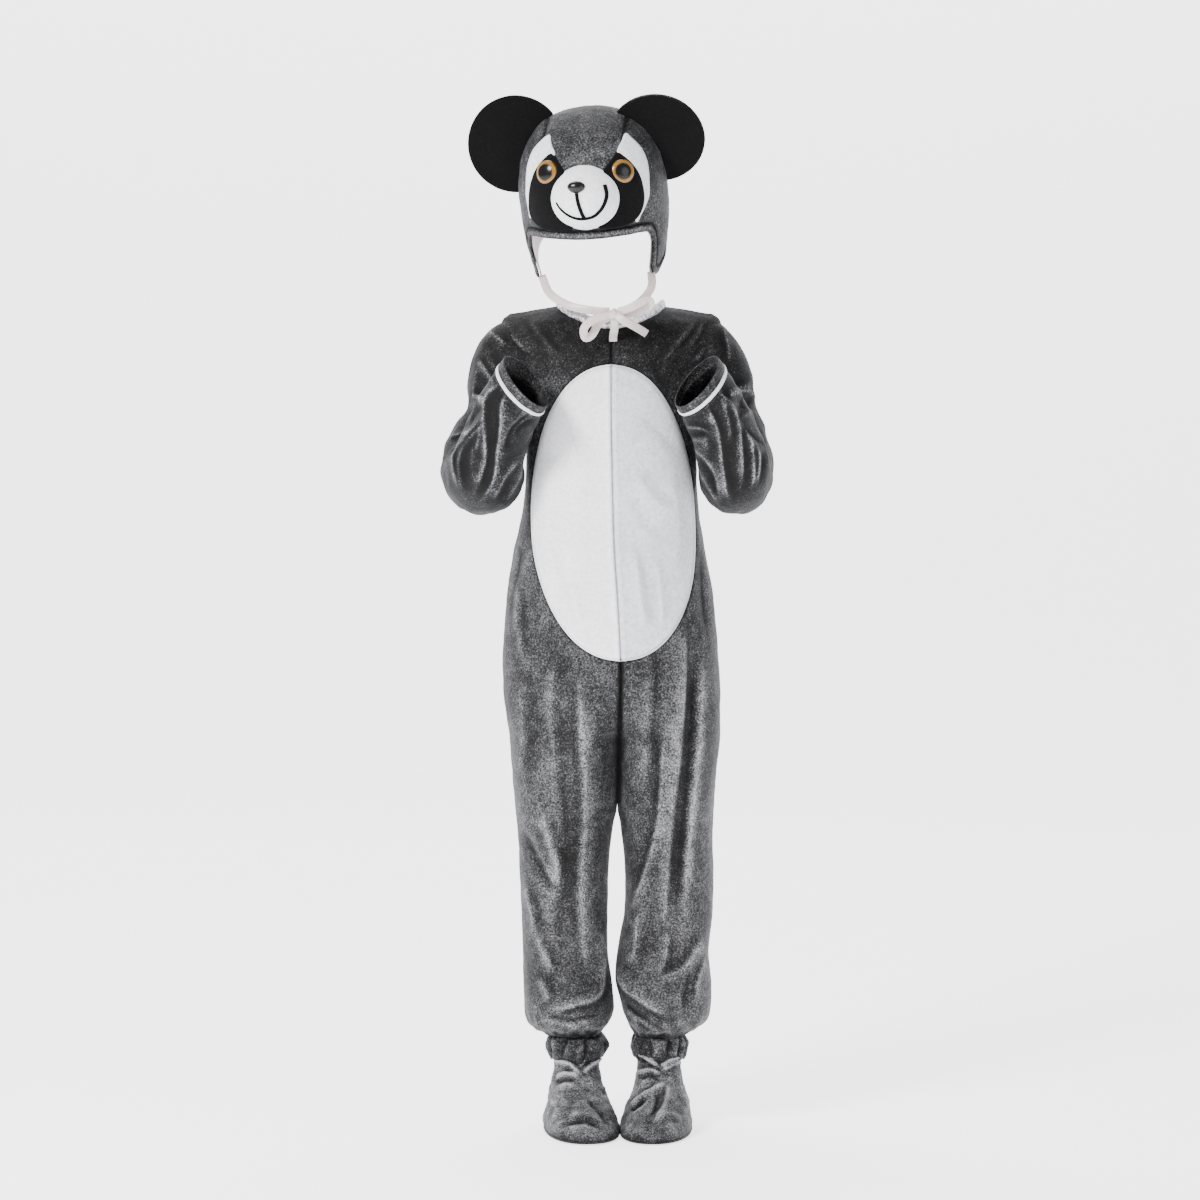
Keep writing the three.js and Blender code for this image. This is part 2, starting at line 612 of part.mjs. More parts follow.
// Frills below the ankle elastic, with their gathers
function buildFrills() {
  for (const [name, ankle] of Object.entries(ANKLES)) {
    const sections = [];
    const count = FRILL.gathers * GATHER_STEPS;
    for (let i = 0; i < count; i += 1) {
      const turn = (2 * Math.PI * i) / count;
      const wave = FRILL.wave * Math.cos(FRILL.gathers * turn);
      const place = (halfX, halfY, z) => new THREE.Vector3(
        ankle.x + halfX * ankle.scale * Math.cos(turn),
        ankle.y + halfY * ankle.scale * Math.sin(turn),
        z,
      );
      sections.push([
        place(FRILL.waistX + WALL, FRILL.waistY + WALL, ANKLE_Z - SEAM),
        place(FRILL.waistX + WALL, FRILL.waistY + WALL, FRILL_WAIST_Z),
        place(FRILL.hemX + wave + WALL, FRILL.hemY + wave + WALL, FRILL_HEM_Z),
        place(FRILL.hemX + wave, FRILL.hemY + wave, FRILL_HEM_Z),
        place(FRILL.waistX, FRILL.waistY, FRILL_WAIST_Z - 1),
        place(FRILL.waistX, FRILL.waistY, ANKLE_Z - SEAM),
      ]);
    }
    const ankleRoom = solid(loft(runPast(ANKLE_LEVELS.map((z) => bootieRing(ankle, z, SEAM)))));
    addPiece(costume, `ankle_frill_${name}`, closedBand(sections).subtract(ankleRoom), surface(VELOUR, 0.85));
  }
}

// Section of a bootie at a level, grown by a distance
function bootieRing(ankle, z, grow) {
  const row = rowAt(bootieRows, 'z', z);
  const middle = (row.heel + row.toe) / 2;
  const ring = [];
  for (let i = 0; i < BOOTIE_SIDES; i += 1) {
    const turn = (2 * Math.PI * i) / BOOTIE_SIDES;
    const x = (row.half * ankle.scale + grow) * squared(Math.cos(turn), BOOTIE_ROUNDNESS);
    const y = middle + ((row.heel - row.toe) / 2 + grow) * squared(Math.sin(turn), BOOTIE_ROUNDNESS);
    const point = new THREE.Vector3(x, y, z);
    point.applyAxisAngle(new THREE.Vector3(0, 0, 1), radians(ankle.turn));
    ring.push(point.add(new THREE.Vector3(ankle.x, ankle.y, 0)));
  }
  return ring;
}

function buildBooties() {
  for (const [name, ankle] of Object.entries(ANKLES)) {
    const levels = [...ANKLE_LEVELS, ...FOOT_LEVELS];
    const shell = solid(loft(levels.map((z) => bootieRing(ankle, z, 0))));
    const core = solid(loft(runPast(levels.map((z) => bootieRing(ankle, z, -WALL)))));
    addPiece(costume, `bootie_${name}`, shell.subtract(core), surface(VELOUR, 0.85));
    const bottom = bootieRows[bootieRows.length - 1].z;
    const soleRings = [bottom - SEAM, FLOOR_Z].map((z) => {
      return bootieRing(ankle, bottom, z === FLOOR_Z ? -SOLE_TUCK : 0).map((p) => p.setZ(z));
    });
    addPiece(costume, `bootie_sole_${name}`, solid(loft(soleRings)), surface(VELOUR, 0.9));
  }
}

// How far a place on a circle moves out as the circle is squared off
function squaring(x, z, roundness) {
  const across = Math.hypot(x, z);
  if (across < 1e-6) {
    return 1;
  }
  return (Math.abs(x / across) ** roundness + Math.abs(z / across) ** roundness) ** (-1 / roundness);
}

// Closed dome of the cap, grown by a distance. Above its widest level it is squared off from side to side, so
// that its top is flat, and it is longer below, for flaps and back.
function dome(grow) {
  const shape = new THREE.SphereGeometry(1, CAP_SIDES, CAP_SIDES / 2);
  shape.rotateX(Math.PI / 2);
  const place = shape.attributes.position;
  for (let i = 0; i < place.count; i += 1) {
    const tall = place.getZ(i) < 0 ? DOME.below : DOME.top;
    const out = place.getZ(i) < 0 ? 1 : squaring(place.getX(i), place.getZ(i), DOME.roundness);
    place.setXYZ(
      i,
      place.getX(i) * out * (DOME.side + grow),
      place.getY(i) * (DOME.front + grow),
      place.getZ(i) * out * (tall + grow),
    );
  }
  return solid(shape);
}

// Prism of everything above the cap's lower edge, raised by a distance along that edge
function aboveEdge(raise) {
  const edge = new THREE.CatmullRomCurve3(capEdge.map(([y, z]) => new THREE.Vector3(y, z, 0)));
  const points = edge.getPoints(22);
  const outline = points.map((point, i) => {
    const before = points[Math.max(i - 1, 0)];
    const after = points[Math.min(i + 1, points.length - 1)];
    const along = after.clone().sub(before).normalize();
    return [point.x - along.y * raise, point.y + along.x * raise];
  });
  outline.push([FAR, FAR], [-FAR, FAR]);
  const shape = new THREE.Shape(outline.map(([y, z]) => new THREE.Vector2(y, z)));
  const geometry = new THREE.ExtrudeGeometry(shape, { depth: 2 * FAR, bevelEnabled: false });
  geometry.translate(0, 0, -FAR);
  geometry.applyMatrix4(new THREE.Matrix4().set(0, 0, 1, 0, 1, 0, 0, 0, 0, 1, 0, 0, 0, 0, 0, 1));
  return solid(geometry);
}

function ellipsoid(centre, half, grow = 0) {
  const shape = new THREE.SphereGeometry(1, ROUND_SIDES, ROUND_SIDES / 2);
  shape.scale(half.x + grow, half.y + grow, half.z + grow);
  shape.translate(centre.x, centre.y, centre.z);
  return solid(shape);
}

// Lens-shaped disc of an ear, from y1 to y2 at its edge, leaning about its middle
function earDisc(ear, y1, y2, frontBulge, backBulge) {
  const profile = [new THREE.Vector2(0, -y1 + frontBulge)];
  const steps = 3;
  for (let i = 1; i <= steps; i += 1) {
    const t = i / steps;
    profile.push(new THREE.Vector2(EAR.radius * t, -y1 + frontBulge * (1 - t * t)));
  }
  for (let i = steps; i >= 1; i -= 1) {
    const t = i / steps;
    profile.push(new THREE.Vector2(EAR.radius * t, -y2 - backBulge * (1 - t * t)));
  }
  profile.push(new THREE.Vector2(0, -y2 - backBulge));
  const shape = new THREE.LatheGeometry(profile, EAR_SIDES);
  shape.rotateX(Math.PI + radians(ear.lean));
  shape.translate(ear.x, EAR.y, ear.z);
  return solid(shape);
}

function smoothOutline(corners) {
  const places = corners.map(([x, z]) => new THREE.Vector3(x, z, 0));
  const curve = new THREE.CatmullRomCurve3(places, true, 'centripetal');
  return curve.getPoints(corners.length * 2).slice(0, -1).map((point) => [point.x, point.y]);
}

// Half-ball lens of an eye
function eyeLens(name) {
  const side = name === 'right' ? -1 : 1;
  const { x, y, z } = EYE_PLACES[name];
  const shape = new THREE.SphereGeometry(1, ROUND_SIDES, ROUND_SIDES / 2);
  shape.scale(EYE.radius, EYE.depth, EYE.radius);
  shape.rotateX(radians(-EYE.rise));
  shape.rotateZ(side * radians(EYE.out));
  shape.translate(x, y, z);
  return solid(shape);
}

// Cap: crown, sides, band and lining, and what is sewn on it
const cap = new THREE.Group();
cap.position.set(CAP.x, CAP.y, CAP.z);
cap.rotation.set(radians(CAP.bow), radians(CAP.roll), radians(CAP.turn), 'ZYX');
costume.add(cap);

function buildCap() {
  const shell = dome(0).subtract(dome(-WALL));
  const body = shell.intersect(aboveEdge(BAND_WIDTH + SEAM / 2));
  const strip = (x1, x2) => body.intersect(box(x1, x2, -FAR, FAR, -FAR, FAR));
  const seamX = CROWN_HALF + SEAM / 2;
  addPiece(cap, 'cap_crown', strip(SEAM - seamX, seamX - SEAM), surface(VELOUR, 0.85));
  addPiece(cap, 'cap_side_right', strip(-FAR, -seamX), surface(VELOUR, 0.85));
  addPiece(cap, 'cap_side_left', strip(seamX, FAR), surface(VELOUR, 0.85));
  const band = aboveEdge(0).subtract(aboveEdge(BAND_WIDTH - SEAM / 2));
  addPiece(cap, 'cap_band', shell.intersect(band), surface(VELOUR, 0.85));
  const lining = dome(-WALL - SEAM).subtract(dome(-WALL - SEAM - LINING));
  addPiece(cap, 'cap_lining', lining.intersect(aboveEdge(SEAM)), surface(SATIN, 0.45));

  const layer = dome(SEAM + APPLIQUE).subtract(dome(SEAM));
  const muzzleCentre = new THREE.Vector3(MUZZLE.x, MUZZLE.y, MUZZLE.z);
  const muzzleHalf = new THREE.Vector3(MUZZLE.half, MUZZLE.depth, MUZZLE.height);
  const muzzle = ellipsoid(muzzleCentre, muzzleHalf);
  const muzzleRoom = ellipsoid(muzzleCentre, muzzleHalf, SEAM);
  const inFront = box(-FAR, FAR, -FAR, EAR.y - EAR.bulge - EAR.room, -FAR, FAR);
  const patchArea = layer.intersect(inFront).intersect(aboveEdge(BAND_WIDTH / 2)).subtract(muzzleRoom);
  for (const name of ['right', 'left']) {
    const brow = smoothOutline(PATCHES[name].brow);
    const eyePatch = smoothOutline(PATCHES[name].eye);
    const eyeArea = prism(eyePatch, -FAR, 0);
    addPiece(cap, `eye_patch_${name}`, patchArea.intersect(eyeArea), surface(FELT, 0.9));
    const browArea = prism(brow, -FAR, 0).subtract(eyeRoom(eyePatch));
    addPiece(cap, `brow_patch_${name}`, patchArea.intersect(browArea), surface(FLEECE, 0.95));

    const eye = eyeLens(name).subtract(dome(2 * SEAM + APPLIQUE)).subtract(muzzleRoom);
    addPiece(cap, `eye_${name}`, eye, surface(AMBER, 0.15));

    const ear = EAR_PLACES[name];
    const domeRoom = dome(SEAM);
    const front = earDisc(ear, 0, EAR.thick, EAR.bulge, 0);
    const back = earDisc(ear, EAR.thick + SEAM, EAR.thick + SEAM + EAR.back, 0, EAR.bulge);
    addPiece(cap, `ear_front_${name}`, front.subtract(domeRoom), surface(FELT, 0.9));
    addPiece(cap, `ear_back_${name}`, back.subtract(domeRoom), surface(VELOUR, 0.85));
  }
  addPiece(cap, 'muzzle', muzzle.subtract(dome(SEAM)), surface(FLEECE, 0.95));
  const across = (NOSE.x - MUZZLE.x) / MUZZLE.half;
  const up = (NOSE.z - MUZZLE.z) / MUZZLE.height;
  const noseY = MUZZLE.y - MUZZLE.depth * Math.sqrt(1 - across ** 2 - up ** 2);
  const nosePlace = new THREE.Vector3(NOSE.x, noseY, NOSE.z);
  const nose = ellipsoid(nosePlace, new THREE.Vector3(NOSE.half, NOSE.depth, NOSE.height));
  addPiece(cap, 'nose', nose.subtract(muzzleRoom), surface(PLASTIC, 0.2));
}

// Prism of an eye patch with a seam's room round it
function eyeRoom(outline) {
  const centre = [0, 1].map((axis) => {
    return outline.reduce((sum, point) => sum + point[axis] / outline.length, 0);
  });
  const grown = outline.map(([x, z]) => {
    const away = Math.hypot(x - centre[0], z - centre[1]);
    const scale = (away + 2 * SEAM) / away;
    return [centre[0] + (x - centre[0]) * scale, centre[1] + (z - centre[1]) * scale];
  });
  return prism(grown, -FAR, 0);
}

// Flat ribbon along a curve, with its width upright and across the curve
function ribbon(path) {
  const curve = new THREE.CatmullRomCurve3(path.map(([x, y, z]) => new THREE.Vector3(x, y, z)));
  const steps = path.length * 3;
  const rings = [];
  for (let i = 0; i <= steps; i += 1) {
    const point = curve.getPoint(i / steps);
    const along = curve.getTangent(i / steps);
    const out = new THREE.Vector3(0, -1, 0);
    const wide = along.clone().cross(out).normalize().multiplyScalar(RIBBON_WIDTH / 2);
    const thick = wide.clone().cross(along).normalize().multiplyScalar(RIBBON_THICK / 2);
    rings.push([
      point.clone().add(wide).add(thick),
      point.clone().sub(wide).add(thick),
      point.clone().sub(wide).sub(thick),
      point.clone().add(wide).sub(thick),
    ]);
  }
  return solid(loft(rings));
}

function buildTies() {
  const centre = new THREE.Vector3(KNOT.x, KNOT.y, KNOT.z);
  const half = new THREE.Vector3(KNOT.halfWidth, KNOT.halfDepth, KNOT.halfHeight);
  const knotRoom = ellipsoid(centre, half, SEAM);
  const place = new THREE.Matrix4().compose(cap.position, cap.quaternion, cap.scale);
  const flapWall = dome(SEAM).subtract(dome(-WALL - LINING - 2 * SEAM)).intersect(aboveEdge(-SEAM));
  const room = knotRoom.add(flapWall.transform(place.elements));
  addPiece(costume, 'tie_knot', ellipsoid(centre, half), surface(SATIN, 0.45));
  for (const [name, path] of Object.entries(ties)) {
    addPiece(costume, name, ribbon(path).subtract(room), surface(SATIN, 0.45));
  }
}

buildSuit();
buildFrills();
buildBooties();
buildCap();
buildTies();

export default costume;
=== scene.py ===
# Koala costume: the looks of a child's jumpsuit, eared cap and two booties, hollow and as they are worn.
# Places are in millimetres until a mesh is made. +Z is up and the front of the suit faces -Y.

import math

import bpy
import numpy as np
from mathutils import Euler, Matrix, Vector, noise


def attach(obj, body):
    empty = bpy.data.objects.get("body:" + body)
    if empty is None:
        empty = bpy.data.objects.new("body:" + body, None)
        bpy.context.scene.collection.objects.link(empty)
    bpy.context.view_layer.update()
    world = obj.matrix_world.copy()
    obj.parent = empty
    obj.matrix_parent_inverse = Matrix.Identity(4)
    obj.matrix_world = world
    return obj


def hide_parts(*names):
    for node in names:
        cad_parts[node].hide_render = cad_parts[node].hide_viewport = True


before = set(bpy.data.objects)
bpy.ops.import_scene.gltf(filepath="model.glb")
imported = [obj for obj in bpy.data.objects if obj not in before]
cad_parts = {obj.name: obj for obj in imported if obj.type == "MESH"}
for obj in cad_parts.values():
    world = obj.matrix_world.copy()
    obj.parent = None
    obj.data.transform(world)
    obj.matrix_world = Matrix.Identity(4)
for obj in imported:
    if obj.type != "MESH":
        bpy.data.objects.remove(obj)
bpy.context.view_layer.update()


# Camera
# It stands 4.5 m in front of the costume, a little below its shoulders, and looks slightly down.

camera_place = Vector((-0.0117, -4.5, -0.028))
camera_aim = Vector((-0.0117, 0, -0.305))
camera = bpy.data.objects.new("camera", bpy.data.cameras.new("camera"))
camera.location = camera_place
camera.rotation_euler = (camera_aim - camera_place).to_track_quat("-Z", "Y").to_euler()
camera.data.lens = 127.4
camera.data.sensor_width = 36
bpy.context.scene.collection.objects.link(camera)
bpy.context.scene.camera = camera


# Room
# A pale seamless paper sweep under and behind the costume, and the soft boxes of a studio. None of it is part
# of the costume.


def linear(colour):
    """The linear colour of an sRGB hex number, with alpha 1."""
    parts = [(colour >> shift & 255) / 255 for shift in (16, 8, 0)]
    return [p / 12.92 if p <= 0.04045 else ((p + 0.055) / 1.055) ** 2.4 for p in parts] + [1]


def add_node(tree, kind, settings, inputs):
    """Adds a node of a kind to a material, with its settings, and sets or links its inputs."""
    made = tree.nodes.new(kind)
    for key, value in settings.items():
        setattr(made, key, value)
    for key, value in inputs.items():
        if isinstance(value, bpy.types.NodeSocket):
            tree.links.new(value, made.inputs[key])
        else:
            made.inputs[key].default_value = value
    return made


def new_material(name):
    """A new material with an empty tree."""
    material = bpy.data.materials.new(name)
    material.use_nodes = True
    material.node_tree.nodes.clear()
    return material, material.node_tree


def finish_material(tree, inputs):
    """Ends a material with a surface of the given inputs."""
    shader = add_node(tree, "ShaderNodeBsdfPrincipled", {}, inputs)
    add_node(tree, "ShaderNodeOutputMaterial", {}, {"Surface": shader.outputs[0]})


paper, tree = new_material("seamless studio paper")
finish_material(
    tree,
    {
        "Base Color": linear(0xF8F8F9),
        "Roughness": 0.95,
        "Specular IOR Level": 0.1,
        "Emission Color": linear(0xF4F4F8),
        "Emission Strength": 2.2,
    },
)

FLOOR = -868
sweep_profile = [(-6000, FLOOR - 1), (2500, FLOOR - 1)]
sweep_profile += [
    (2500 + 1500 * math.sin(math.radians(a)), FLOOR - 1 + 1500 * (1 - math.cos(math.radians(a))))
    for a in range(5, 95, 5)
]
sweep_profile.append((4000, 6000))
sweep_mesh = bpy.data.meshes.new("paper_sweep")
sweep_mesh.from_pydata(
    [(x / 1000, y / 1000, z / 1000) for y, z in sweep_profile for x in (-7000, 7000)],
    [],
    [(2 * i, 2 * i + 1, 2 * i + 3, 2 * i + 2) for i in range(len(sweep_profile) - 1)],
)
sweep_mesh.polygons.foreach_set("use_smooth", [True] * len(sweep_mesh.polygons))
sweep_mesh.materials.append(paper)
sweep = bpy.data.objects.new("paper_sweep", sweep_mesh)
bpy.context.scene.collection.objects.link(sweep)

world = bpy.data.worlds.new("studio air")
world.use_nodes = True
world.node_tree.nodes["Background"].inputs["Color"].default_value = linear(0xF6F7FA)
world.node_tree.nodes["Background"].inputs["Strength"].default_value = 0.6
bpy.context.scene.world = world

soft_boxes = [
    ("key_box", (-1.9, -2.3, 1.5), (0, 0, -0.3), 1.1, 185),
    ("fill_box", (2.2, -2.6, 0.6), (0, 0, -0.3), 2.0, 28),
    ("top_box", (-0.4, 0.9, 2.2), (0, 0, -0.2), 1.5, 40),
]
for name, place, aim, size, power in soft_boxes:
    light = bpy.data.lights.new(name, "AREA")
    light.shape = "DISK"
    light.size = size
    light.energy = power
    box = bpy.data.objects.new(name, light)
    box.location = place
    box.rotation_euler = (Vector(aim) - Vector(place)).to_track_quat("-Z", "Y").to_euler()
    bpy.context.scene.collection.objects.link(box)


# Fronts of the jumpsuit
# Two panels of dark grey crushed velour, cut in one with the fronts of the legs. They are joined at the
# centre front, hang loose from the shoulders and are caught in by the ankle elastic.


def smooth(value, start, end):
    """Smooth step from 0 to 1 as value goes from start to end."""
    t = np.clip((value - start) / (end - start), 0, 1)
    return t * t * (3 - 2 * t)


def read_rows(rows, at):
    """The columns of a table of sections at any values of its first column, on a smooth curve."""
    table = np.array(rows, float)
    key = table[:, 0]
    rising = 1 if key[-1] > key[0] else -1
    place = np.clip(np.searchsorted(key * rising, at * rising) - 1, 0, len(key) - 2)
    here, ahead = table[place], table[place + 1]
    before, after = table[np.maximum(place - 1, 0)], table[np.minimum(place + 2, len(key) - 1)]
    span = ahead[..., :1] - here[..., :1]
    t = (at[..., None] - here[..., :1]) / span
    slope_here = (ahead - before) / (ahead[..., :1] - before[..., :1]) * span
    slope_ahead = (after - here) / (after[..., :1] - here[..., :1]) * span
    found = (2 * t**3 - 3 * t**2 + 1) * here + (t**3 - 2 * t**2 + t) * slope_here
    found += (3 * t**2 - 2 * t**3) * ahead + (t**3 - t**2) * slope_ahead
    return [found[..., column] for column in range(1, table.shape[1])]


def squared(value, roundness):
    """Cosine or sine squared off towards a rounded rectangle."""
    return np.sign(value) * np.abs(value) ** (2 / roundness)


# Each row: level, side edge of the right and left half from the centre front, depth of the front and the back
# from the side seam, where the half is deepest, its edge next to the other half, and the centre-front line.
body_rows = [
    (6, 107, 107, 7, 7, 0, -107, 0),
    (1, 114, 114, 23, 24, 0, -114, 0),
    (-9, 117, 117, 42, 42, 0, -117, 0),
    (-28, 116, 116, 58, 57, 0, -116, 0),
    (-60, 107, 107, 72, 68, 0, -107, 0),
    (-110, 93, 93, 80, 74, 0, -93, 0),
    (-160, 91, 90, 84, 76, 0, -91, 1),
    (-213, 96, 91, 87, 76, 0, -94, 2),
    (-251, 107, 96, 91, 77, 0, -102, 3.5),
    (-289, 115, 101, 93, 79, 0, -108, 6),
    (-328, 121, 103, 91, 83, 3, -100, 8.3),
    (-369, 125, 105, 86, 87, 14, -72, 10),
    (-413, 123, 107, 82, 88, 36, -30, 9.5),
    (-446, 117.6, 108, 79.4, 85.3, 51, -1.6, 8.6),
    (-450, 117, 108, 79, 85, 53, -0.3, 8.5),
    (-456, 116.4, 107.6, 78.4, 84, 53.4, -0.4, 8.4),
    (-502, 112, 104, 73, 75, 55, -0.4, 7.5),
    (-526, 109, 103, 70, 71, 55, 0.3, 6.7),
    (-547, 106, 103, 67, 68, 55, 4.5, 6),
    (-591, 104, 103, 62, 64, 56, 8.5, 6),
    (-636, 101, 103, 59, 61, 55, 9, 5.5),
    (-681, 95, 103, 60, 58, 52, 4.5, 1.5),
    (-710, 96, 104, 60, 59, 50, 1.6, 2.6),
    (-740, 100, 99, 57, 58, 50, 4, 7.5),
    (-756, 96, 91, 47, 49, 49, 10, 8.3),
    (-770, 77, 72, 29, 31, 47, 19, 7.4),
    (-790, 75, 70, 27, 29, 47, 21, 7.4),
]
BODY_ROUNDNESS = 2.3
SIDE_SEAM = 4
CROTCH, ANKLE = -430, -769.5
NECK_WIDE, NECK_DEEP, NECK_Y = 56, 49, 3
SHOULDER_DROP = 8
FOLD_LIGHT = 0.65


def shoulder_drop(x, level):
    """How far the shoulders slope down towards the sleeves."""
    return SHOULDER_DROP * (1 - smooth(-level, 0, 70)) * smooth(np.abs(x), 50, 115)


def body_surface(side, level, turn):
    """Points of one half of the suit. turn 0 is the side seam, and a turn below 0 is on the back."""
    right, left, front, back, lobe, inner, mid = read_rows(body_rows, level)
    reach = right if side < 0 else left
    across = np.where(np.cos(turn) > 0, reach - lobe, lobe - inner)
    depth = np.where(turn > 0, front, back)
    x = lobe + across * squared(np.cos(turn), BODY_ROUNDNESS)
    y = SIDE_SEAM - depth * squared(np.sin(turn), BODY_ROUNDNESS)
    return np.stack([side * x + mid, y, level - shoulder_drop(x, level)], -1)


def normals_of(points, inside, closed):
    """Outward normals of a grid of points, and whether its faces have to be turned. inside lies within it."""
    if closed:
        along = np.roll(points, -1, 1) - np.roll(points, 1, 1)
    else:
        along = np.gradient(points, axis=1)
    normals = np.cross(along, np.gradient(points, axis=0))
    normals /= np.maximum(np.linalg.norm(normals, axis=-1, keepdims=True), 1e-9)
    turned = float((normals * (points - inside)).sum()) < 0
    return (-normals if turned else normals), turned


def ruffled(points, size, seed):
    """Smooth noise from about -1 to 1 at each point, with waves about size millimetres long."""
    flat = points.reshape(-1, 3) / size + np.array([seed * 7.3, seed * 3.1, seed * 5.7])
    return np.array([noise.noise(Vector(p)) for p in flat]).reshape(points.shape[:-1])


def seen(points):
    """X and Z at which places show from the front, on the plane through the shoulders."""
    eye_x, eye_y, eye_z = camera_place * 1000
    nearer = eye_y / (eye_y - points[..., 1])
    return eye_x + (points[..., 0] - eye_x) * nearer, eye_z + (points[..., 2] - eye_z) * nearer


def bell(value, width):
    """1 where value is 0, and down to nothing on both sides of it."""
    return np.exp(-((value / width) ** 2))


def beside(line, x, z):
    """How far places lie from a line, the same with a sign for its side, and their share of the way along."""
    nearest = np.full(x.shape, 1e9)
    signed = np.zeros(x.shape)
    run = np.zeros(x.shape)
    passed = 0.0
    for start, end in zip(line[:-1], line[1:]):
        length = math.dist(start, end)
        dx, dz = (end - start) / length
        along = np.clip((x - start[0]) * dx + (z - start[1]) * dz, 0, length)
        off = np.hypot(x - start[0] - dx * along, z - start[1] - dz * along)
        near = off < nearest
        side = (z - start[1]) * dx - (x - start[0]) * dz
        signed = np.where(near, np.sign(side) * off, signed)
        run = np.where(near, passed + along, run)
        nearest = np.where(near, off, nearest)
        passed += length
    return nearest, signed, run / passed


def fold_relief(points, folds):
    """Height of folds over a grid, and the highlight and shade painted along them. Each fold is a path seen
    from the front, its width to the left and right as one goes along it, its rise, and how bright a highlight
    is painted on its crest. The narrow side of a ridge is steep and painted dark, as if in shade."""
    height = np.zeros(points.shape[:-1])
    light = np.zeros(points.shape[:-1])
    x, z = seen(points)
    for path, left, right, rise, lighten in folds:
        nearest, signed, run = beside(smooth_path(path, 6 * len(path)), x, z)
        width = np.where(signed < 0, left, right)
        ends = smooth(run, -0.02, 0.2) * (1 - smooth(run, 0.78, 1.02))
        height += rise * ends * (0.6 * bell(nearest, width) + 0.4 * np.exp(-nearest / (0.5 * width)))
        flank = signed if left > right else -signed
        steep, soft = min(left, right), max(left, right)
        crest = 0.7 * bell(nearest, 1.4) + 0.3 * bell(flank + 0.3 * soft, 0.6 * soft)
        light += FOLD_LIGHT * lighten * ends * (crest - 0.8 * bell(flank - steep, 0.65 * steep))
    return height, light


def spread(line, count, endpoint=True, along=None):
    """Points spaced evenly along a line, or evenly along another curve that goes with it."""
    curve = line if along is None else along
    run = np.concatenate([[0], np.cumsum(np.linalg.norm(np.diff(curve, axis=0), axis=1))])
    at = np.linspace(0, run[-1], count, endpoint=endpoint)
    return np.stack([np.interp(at, run, line[:, k]) for k in range(line.shape[1])], -1)


def smooth_path(corners, count):
    """A smooth open curve through corners, with count points spaced evenly along it."""
    corners = np.array(corners, float)
    padded = np.concatenate([2 * corners[:1] - corners[1:2], corners, 2 * corners[-1:] - corners[-2:-1]])
    parts = []
    for i in range(len(corners) - 1):
        a, b, c, d = padded[i : i + 4]
        t = np.linspace(0, 1, 24, endpoint=i == len(corners) - 2)[:, None]
        parts.append(
            0.5 * (2 * b + (c - a) * t + (2 * a - 5 * b + 4 * c - d) * t**2 + (3 * b - a - 3 * c + d) * t**3)
        )
    return spread(np.concatenate(parts), count)


def over_neighbours(height, steps, closed=False):
    """Height of each place over the mean height round it, from -1 to 1. It serves as painted shade, lighter
    on ridges and darker in hollows."""
    mean = height
    for _ in range(steps):
        wide = np.pad(mean, ((1, 1), (0, 0)), mode="edge")
        wide = np.pad(wide, ((0, 0), (1, 1)), mode="wrap" if closed else "edge")
        mean = (wide[:-2, 1:-1] + wide[2:, 1:-1] + wide[1:-1, :-2] + wide[1:-1, 2:]) / 4
    return np.tanh((height - mean) / 1.5)


def cloth(name, points, inside, material, tone_and_painted_light=None, closed=False, drop=None, thick=1.2):
    """A thin shell of cloth from a grid of points in millimetres. drop marks points whose faces go."""
    rows, columns = points.shape[:2]
    ids = np.arange(rows * columns).reshape(rows, columns)
    if closed:
        ids = np.concatenate([ids, ids[:, :1]], 1)
    quads = np.stack([ids[:-1, :-1], ids[:-1, 1:], ids[1:, 1:], ids[1:, :-1]], -1).reshape(-1, 4)
    if drop is not None:
        quads = quads[~drop.reshape(-1)[quads].all(1)]
    if normals_of(points, inside, closed)[1]:
        quads = quads[:, ::-1]
    used, quads = np.unique(quads, return_inverse=True)
    quads = quads.reshape(-1, 4)
    mesh = bpy.data.meshes.new(name)
    mesh.from_pydata((points.reshape(-1, 3)[used] / 1000).tolist(), [], quads.tolist())
    mesh.polygons.foreach_set("use_smooth", [True] * len(mesh.polygons))
    # The painted light and tone go to the shaders as an attribute of the mesh.
    if tone_and_painted_light is not None:
        kept = mesh.attributes.new("tone_and_painted_light", "FLOAT", "POINT").data
        kept.foreach_set("value", tone_and_painted_light.reshape(-1)[used].astype(np.float32))
    mesh.materials.append(material)
    piece = bpy.data.objects.new(f"{name}_finished", mesh)
    bpy.context.scene.collection.objects.link(piece)
    if thick:
        wall = piece.modifiers.new("wall", "SOLIDIFY")
        wall.thickness = thick / 1000
        wall.offset = -1
    return piece


def put_on(piece, node):
    """Puts a finished piece in the place of its solid."""
    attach(piece, "root")
    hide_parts(node)


def noise_of(tree, scale, detail=2, roughness=0.5, distortion=0):
    """Noise over the places of a piece, with about scale waves to a metre."""
    place = add_node(tree, "ShaderNodeTexCoord", {}, {}).outputs["Object"]
    inputs = {"Vector": place, "Scale": scale, "Detail": detail}
    inputs.update({"Roughness": roughness, "Distortion": distortion})
    return add_node(tree, "ShaderNodeTexNoise", {}, inputs).outputs["Fac"]


def with_painted_light_and_tone(tree, *added):
    """The painted light and tone kept on a mesh, with a share of each texture added to it."""
    value = add_node(tree, "ShaderNodeAttribute", {"attribute_name": "tone_and_painted_light"}, {}).outputs["Fac"]
    for texture, share in added:
        inputs = {0: texture, 1: share, 2: value}
        value = add_node(tree, "ShaderNodeMath", {"operation": "MULTIPLY_ADD"}, inputs).outputs[0]
    return value


